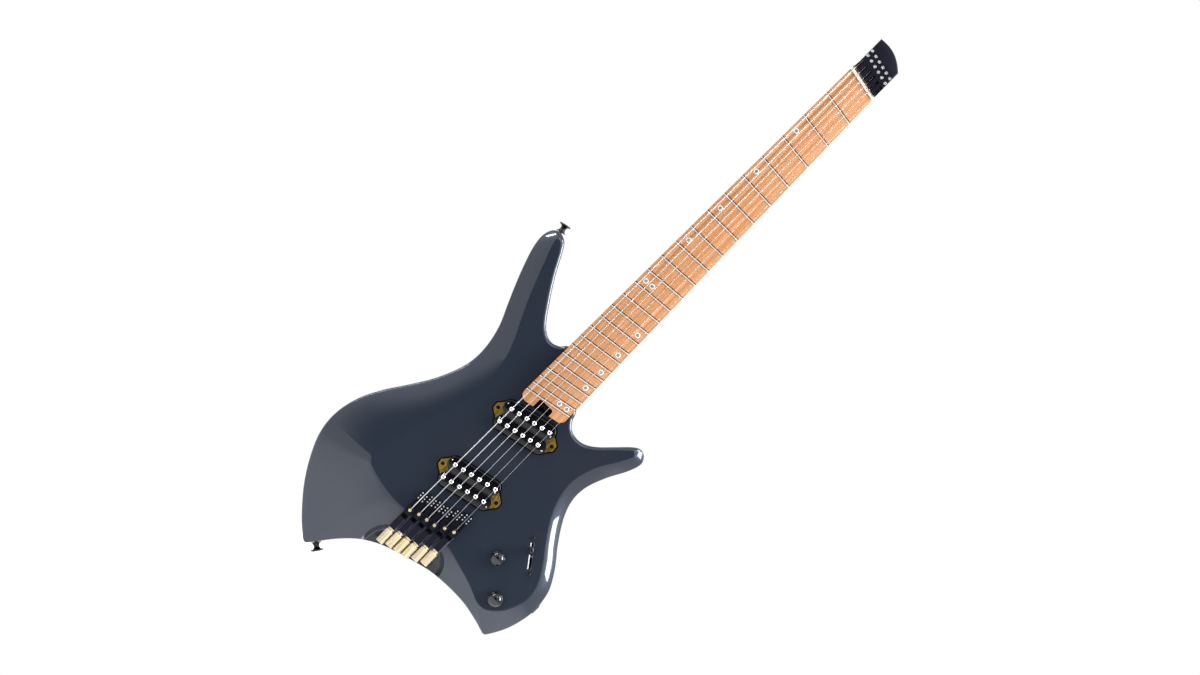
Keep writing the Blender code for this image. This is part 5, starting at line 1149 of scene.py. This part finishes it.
def make_control_knob(place):
    """A skirt with a rounded foot, a fine groove, and a dome that is a quarter of an ellipse: at a turn
    t its radius is R * cos(t) and its height is H * sin(t)."""
    seat, r = BODY_THICKNESS + DOME_CLEARANCE, DOME_RADIUS
    dome = np.linspace(0, math.pi / 2, 22)[1:]
    knob = turned([(0, -15.5), (3, -15.5), (3, 0), (r - 0.4, 0), (r - 0.1, 0.2), (r, 0.6), (r, 3.4),
                   (r - 0.2, 3.6), (r - 0.2, 3.8), (r, 4), (r, DOME_START),
                   *zip(r * np.cos(dome), DOME_START + DOME_HEIGHT * np.sin(dome))],
                  lifted(place, seat), sides=72)
    mark = lifted((place[0], place[1] - r - 1), seat + 2)
    return carved(knob, turned([(0.9, 0), (0.9, OVERCUT)], mark, ALONG, 16))


black_chrome = worked("black chrome, plated and polished", "#22242A", "#2A2C33", 6, (0.07, 0.11), 0.002,
                      Metallic=1.0, Coat_Weight=0.8, Coat_Roughness=0.03)
for name, place in KNOBS.items():
    settled(make_control_knob(place), f"{name}_dome_knob", black_chrome, f"{name}_knob",
            f"{name}_control", smooth=32)

# Selector: a blade switch under the top. Its flat steel lever comes up through a slot with a moulded
# tip pressed on, and two screws with domed heads, plated in black nickel, hold the frame.
LEVER_PIVOT, LEVER_TILT, TIP_START, TIP_LENGTH = BODY_THICKNESS - 14, math.radians(17), 17.2, 9.0
# Share of the tip's length, and of its full section there
TIP_SWELL = [(0, 0.80), (0.03, 0.86), (0.08, 0.92), (0.2, 1.0), (0.4, 0.99), (0.6, 0.96), (0.75, 0.91),
             (0.85, 0.84), (0.92, 0.74), (0.97, 0.60), (1.0, 0.36)]
SELECTOR_SCREWS = ((93.5, -49.5), (118.5, -81.9))
DOMED_SCREW = [(0, -6), (1.1, -6), (1.1, -1.2), (2.5, 0.1), (2.5, 0.3), (2.4, 0.8), (2.1, 1.3), (1.7, 1.7),
               (1.2, 1.9), (0.8, 2, "cross"), (0.7, 1.4, "cross"), (0.3, 0)]


def lever_ring(outline, up):
    """Local points (along the slot, across it) carried out along the leaning lever by up."""
    along, side = np.asarray(outline, float).T
    u = along * math.cos(LEVER_TILT) - up * math.sin(LEVER_TILT)
    height = LEVER_PIVOT + along * math.sin(LEVER_TILT) + up * math.cos(LEVER_TILT)
    return lifted(turned_plan(np.stack([u, side], axis=1), SWITCH_PLACE, SWITCH_SLANT), height)


def make_lever():
    """A flat blade on a round hub that lies across the slot at the pivot."""
    blade = oblong(-2.5, 2.5, -0.65, 0.65, 0.3, step=30)
    stem = skin([lever_ring(blade, up) for up in (-2.2, TIP_START + 4)])
    turn = np.linspace(0, 2 * math.pi, 24, endpoint=False)
    hub = [np.concatenate([lever_ring([(3 * math.cos(t), side)], 3 * math.sin(t)) for t in turn])
           for side in (-1.3, 1.3)]
    return carved(stem, skin(hub), how="UNION")


def make_lever_tip():
    """Rounded rectangles along the lever: the width swells to full at a fifth of the length and closes
    over the end as a quarter circle."""
    plan = oblong(-4.8, 4.8, -2.9, 2.9, 2.4, step=15)
    return skin([lever_ring(plan * size, TIP_START + TIP_LENGTH * share) for share, size in TIP_SWELL])


settled(make_lever(), "selector_blade", nickel_plate, "selector_lever", "selector", smooth=40)
settled(make_lever_tip(), "selector_tip", moulded_black, body="selector", smooth=50)
black_nickel = worked("black nickel, plated", "#0B0B0E", "#131317", 3, (0.10, 0.16), 0.004, Metallic=1.0,
                      Coat_Weight=0.5, Coat_Roughness=0.05)
settled(studs(DOMED_SCREW, SELECTOR_SCREWS, BODY_THICKNESS, 40), "selector_screws", black_nickel,
        smooth=40)

# Back: a moulded cover over the control cavity, let in flush and held by seven screws, and a plate
# let in flush for the four neck bolts.
COVER_SCREW_INSET, SCREW = 3.0, 2.1
# Points of the line along the cover's edge that have a screw, one near each corner
COVER_SCREW_POINTS = [3, 9, 18, 26, 31, 39, 48]
COVER_SCREW = [(0, -6), (1.1, -6), (1.1, -SCREW / 2), (SCREW, 0.1), (SCREW, 0.3), (SCREW * 0.9, 0.55),
               (SCREW * 0.58, 0.6, "cross"), (SCREW * 0.52, 0.1, "cross"), (0.3, -0.8)]
NECK_BOLT = [(0, -38.5), (2.1, -38.5), (2.1, 0), (4, 0.1), (4.1, 0.6), (3.6, 1.3), (2.6, 1.8),
             (2.2, 1.9, "cross"), (1.9, 1, "cross"), (0.5, -0.4)]
cavity = rounded(CONTROL_CAVITY)
textured_black = worked("ABS, moulded with a fine leather grain", "#0F0F11", "#19191C", 0.7, (0.42, 0.56),
                        0.03)
cover = slab(grown(cavity, COVER_LIP - GAP), [(COVER_THICKNESS, 0), (0.5, 0), (0.1, 0.1), (0, 0.5)])
settled(cover, "cavity_cover", textured_black, "control_cover", smooth=38)
ring = grown(cavity, COVER_LIP - COVER_SCREW_INSET)
settled(studs(COVER_SCREW, ring[COVER_SCREW_POINTS], 0, 40, BACK), "cover_screws", blackened_steel,
        smooth=40)
plate = slab(rounded(NECK_PLATE), [(NECK_PLATE_THICKNESS, 0), (0.4, 0), (0.1, 0.1), (0, 0.4)])
settled(plate, "neck_joint_plate", black_anodised, "neck_plate", smooth=38)
settled(studs(NECK_BOLT, NECK_BOLTS, 0, 48, BACK), "neck_bolts", blackened_steel, smooth=40)

# Output jack: a threaded barrel in the treble edge of the body. A round plate covers its bore, and a
# six-sided nut, bored for the plug, holds it in place.
jack, r = lifted(JACK_PLACE, JACK_HEIGHT), JACK_RADIUS
socket = turned([(6, 25), (6, 1.6), (r, 1.6), (r, 0.4), (r - 0.4, 0), (6.2, -0.2), (6.2, 0.3), (3.3, 0.3),
                 (3.3, 22)], jack, (-1, 0, 0))
settled(socket, "jack_socket", black_anodised, "output_jack", smooth=38)
nut = turned([(3.4, 0.2), (5.1, 0.2, "hex"), (5.3, 0.3, "hex"), (5.3, 0.9, "hex"), (4.9, 1.1, "hex"),
              (4.2, 1.2), (3.4, 1.2)], jack, ACROSS)
carved(nut, turned([(3.4, -2), (3.4, OVERCUT)], jack, ACROSS))
settled(nut, "jack_nut", blackened_steel, smooth=40)

# Strap buttons: turned in steel and plated black, each held by one long screw over a felt washer.
WAIST = curve(np.array([(5, 1.7), (3.8, 2.8), (3.1, 5.5), (4.2, 7.8), (6.8, 8.7)]), 6)[:25]
STRAP_PROFILE = [(0, -11.8), (1.9, -11.8), (1.9, 1.6), (4.8, 1.4), (5.2, 1.5), *WAIST, (7, 9.1), (7.1, 9.6),
                 (6.9, 10.1), (6, 10.6), (4.2, 11), (3.4, 10.9), (3.2, 10.4), (2.9, 10.8), (2.2, 11),
                 (1.7, 11, "cross"), (1.5, 10.2, "cross"), (0.4, 9.4)]
WASHER_PROFILE = [(2.2, 0.4), (5.5, 0.4), (5.8, 0.8), (5.5, 1.3), (2.2, 1.3)]
felt = worked("felt washer, pressed", "#141416", "#2A2A2E", 0.3, (0.9, 1.0), 0.1, Sheen_Weight=0.4)
for name, (place, axis, height) in STRAP_BUTTONS.items():
    foot = lifted(place, height)
    settled(turned(STRAP_PROFILE, foot, axis), f"strap_pin_{name}", black_nickel,
            f"strap_button_{name}", smooth=38)
    settled(turned(WASHER_PROFILE, foot, axis, 40), f"strap_felt_{name}", felt)

# Truss rod: a steel rod in a channel under the board. It is tightened by a wheel with eight round
# notches, in the notch at the board's end.
WHEEL_LOW, WHEEL_HIGH, WHEEL_RADIUS, WHEEL_DIP = 60.6, 65.6, 6.2, 1.4


def make_wheel():
    """An outline whose radius dips in eight round notches: radius - dip * (sine of 4 turns)^6."""
    turn = np.linspace(0, 2 * math.pi, 128, endpoint=False)
    reach = WHEEL_RADIUS - WHEEL_DIP * np.sin(4 * turn) ** 6
    rings = []
    for z, inset in ((WHEEL_LOW, 0.4), (WHEEL_LOW + 0.4, 0), (WHEEL_HIGH - 0.4, 0), (WHEEL_HIGH, 0.4)):
        r = reach - inset
        rings.append(np.stack([NOTCH_X + r * np.cos(turn), -(TRUSS_HEIGHT + r * np.sin(turn)),
                               np.full(128, z)], axis=-1))
    low, high = ((NOTCH_X, -TRUSS_HEIGHT, z) for z in (WHEEL_LOW, WHEEL_HIGH))
    wheel = carved(skin(rings), turned([(0, -2), (2.5, -2), (2.5, 7)], high, ALONG, 24), how="UNION")
    return carved(wheel, turned([(2, -OVERCUT), (2, 2.4), (0, 3.4)], low, ALONG, 24))


settled(make_wheel(), "adjuster_wheel", blackened_steel, "truss_rod_wheel", "truss_wheel",
        smooth=38)

# Hidden parts, which keep their CAD shape: the truss rod, the potentiometers and the selector's frame
# are of pressed steel, zinc plated and passivated to a dull grey.
zinc_plate = worked("zinc plated steel, passivated", "#8B8D91", "#ABADB0", 2, (0.34, 0.5), 0.01, Metallic=1.0)
for name in ("truss_rod", "volume_potentiometer", "tone_potentiometer", "selector_frame"):
    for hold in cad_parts[name].material_slots:
        hold.material = zinc_plate

# Floor: a plain white sheet. The camera and shiny surfaces see it as white as the background, less
# the shadow that the lamps cast near the object.
FLOOR_SIZE, SHADOW_REACH = 3.0, 0.9
WHITE = (1, 1, 1, 1)


def seen_directly(tree):
    """1 for rays from the camera, off a shiny surface or through glass, and 0 for the rest."""
    rays = add(tree, "LightPath")[0]
    either = add(tree, "Math", {0: (rays, "Is Camera Ray"), 1: (rays, "Is Glossy Ray")}, operation="MAXIMUM")
    return add(tree, "Math", {0: either, 1: (rays, "Is Transmission Ray")}, operation="MAXIMUM")


floor_z = min(corner[2] for corner in cad_box) - 0.0005
sheet_mesh = bpy.data.meshes.new("floor")
sheet_mesh.from_pydata([(x * FLOOR_SIZE, y * FLOOR_SIZE, floor_z)
                        for x, y in ((-1, -1), (1, -1), (1, 1), (-1, 1))],
                       [], [(0, 1, 2, 3)])
floor = placed("floor", sheet_mesh)
white_sheet, tree, shader = surface("matt white paper", Roughness=0.95, Specular_IOR_Level=0.1)
where = add(tree, "TexCoord", output="Object")
flat = add(tree, "VectorMath", {0: where, 1: (1.0, 1.0, 0.0)}, operation="MULTIPLY")
far = add(tree, "VectorMath", {0: flat}, "Value", operation="LENGTH")
near = ranged(tree, far, (1, 0), (0.25, SHADOW_REACH), interpolation_type="SMOOTHSTEP")
paper = add(tree, "BsdfDiffuse", {"Color": ranged(tree, near, (0, 0.8))})
shine = add(tree, "Emission", {"Strength": ranged(tree, near, (1, 0.72)), "Color": WHITE})
seen = add(tree, "AddShader", {0: paper, 1: shine})
plain = add(tree, "BsdfDiffuse", {"Color": (0.8, 0.8, 0.8, 1)})
chosen = add(tree, "MixShader", {0: seen_directly(tree), 1: plain, 2: seen})
plug(tree, tree.nodes["Material Output"], {"Surface": chosen})
sheet_mesh.materials.append(white_sheet)

# Studio: a white background that gives little light of its own, two tall softboxes to the right and
# left of the neck, a smaller one over the head, and a broad soft lamp in front.
world = bpy.data.worlds.new("studio")
bpy.context.scene.world = world
world.use_nodes = True
tree = world.node_tree
fill = tree.nodes["Background"]
plug(tree, fill, {"Color": WHITE, "Strength": 0.34})
white = add(tree, "Background", {"Color": WHITE, "Strength": 1.0})
chosen = add(tree, "MixShader", {0: seen_directly(tree), 1: (fill, 0), 2: white})
plug(tree, tree.nodes["World Output"], {"Surface": chosen})


def softbox(name, place, target, width, height, power):
    """A rectangular lamp that faces its target, with its long side upright."""
    lamp = bpy.data.lights.new(name, "AREA")
    lamp.shape, lamp.size, lamp.size_y, lamp.energy = "RECTANGLE", width, height, power
    made = placed(name, lamp)
    made.location = place
    made.rotation_euler = (Vector(target) - Vector(place)).to_track_quat("-Z", "Y").to_euler()


softbox("right_softbox", (1.15, -0.60, 0.98), (0.10, -0.04, 0.0), 0.52, 0.90, 31)
softbox("left_softbox", (-1.25, -0.62, 0.60), (-0.08, -0.04, 0.0), 0.14, 0.80, 9)
softbox("top_softbox", (0.64, -0.62, 1.50), (-0.08, -0.04, 0.16), 0.30, 0.45, 6)
softbox("front_lamp", (0.0, -2.0, 1.9), (0.0, -0.04, 0.1), 1.4, 1.0, 8)

# Flag: a wide card behind the camera, black in the middle and fading to white at its rim. The flat
# top mirrors its middle and looks dark, and the bevels, which lean away, mirror its light parts.
FLAG_DISTANCE, FLAG_X, FLAG_Z, FLAG_STRETCH, FLAG_DARK, FLAG_RADIUS = 19.6, -3.0, 2.0, 1.5, 2.8, 8.0
turn, reach = np.linspace(0, 2 * math.pi, 64, endpoint=False), 1.02 * FLAG_RADIUS
flag_mesh = bpy.data.meshes.new("flag")
flag_mesh.from_pydata(np.stack([FLAG_X + reach * FLAG_STRETCH * np.cos(turn), np.full(64, -FLAG_DISTANCE),
                                FLAG_Z + reach * np.sin(turn)], axis=1).tolist(), [], [range(64)])
flag = placed("flag", flag_mesh)
sprayed_card, tree, shader = surface("card sprayed black in the middle", Base_Color=(0, 0, 0, 1),
                                     Roughness=1.0, Specular_IOR_Level=0.0)
where = add(tree, "TexCoord", output="Object")
shifted = add(tree, "VectorMath", {0: where, 1: (FLAG_X, 0.0, FLAG_Z)}, operation="SUBTRACT")
flat = add(tree, "VectorMath", {0: shifted, 1: (1 / FLAG_STRETCH, 0.0, 1.0)}, operation="MULTIPLY")
far = add(tree, "VectorMath", {0: flat}, "Value", operation="LENGTH")
fade = ranged(tree, far, (0.01, 1), (FLAG_DARK, FLAG_RADIUS), interpolation_type="SMOOTHSTEP")
plug(tree, tree.nodes["Material Output"],
     {"Surface": add(tree, "Emission", {"Strength": fade, "Color": WHITE})})
flag_mesh.materials.append(sprayed_card)
flag.visible_camera = flag.visible_diffuse = flag.visible_shadow = False

# Camera: square to the front, rolled so that the neck points to the upper right, with a long lens.
VIEW_WIDTH, LENS, SENSOR = 1.332, 500.0, 36.0
view_centre = Vector((-0.00960, -BODY_THICKNESS * MM, 0.16095))
right = Vector((0.71280, 0, 0.70136)).normalized()
up, back = Vector((-right.z, 0, right.x)), Vector(FRONT)
camera_data = bpy.data.cameras.new("camera")
camera_data.lens, camera_data.sensor_width = LENS, SENSOR
camera_data.clip_start, camera_data.clip_end = 0.1, 100.0
camera = placed("camera", camera_data)
place = view_centre + back * VIEW_WIDTH * LENS / SENSOR
camera.matrix_world = Matrix([(*row, shift)
                              for row, shift in zip(zip(right, up, back), place)] + [(0, 0, 0, 1)])
bpy.context.scene.camera = camera
bpy.context.scene.view_settings.view_transform = "Standard"
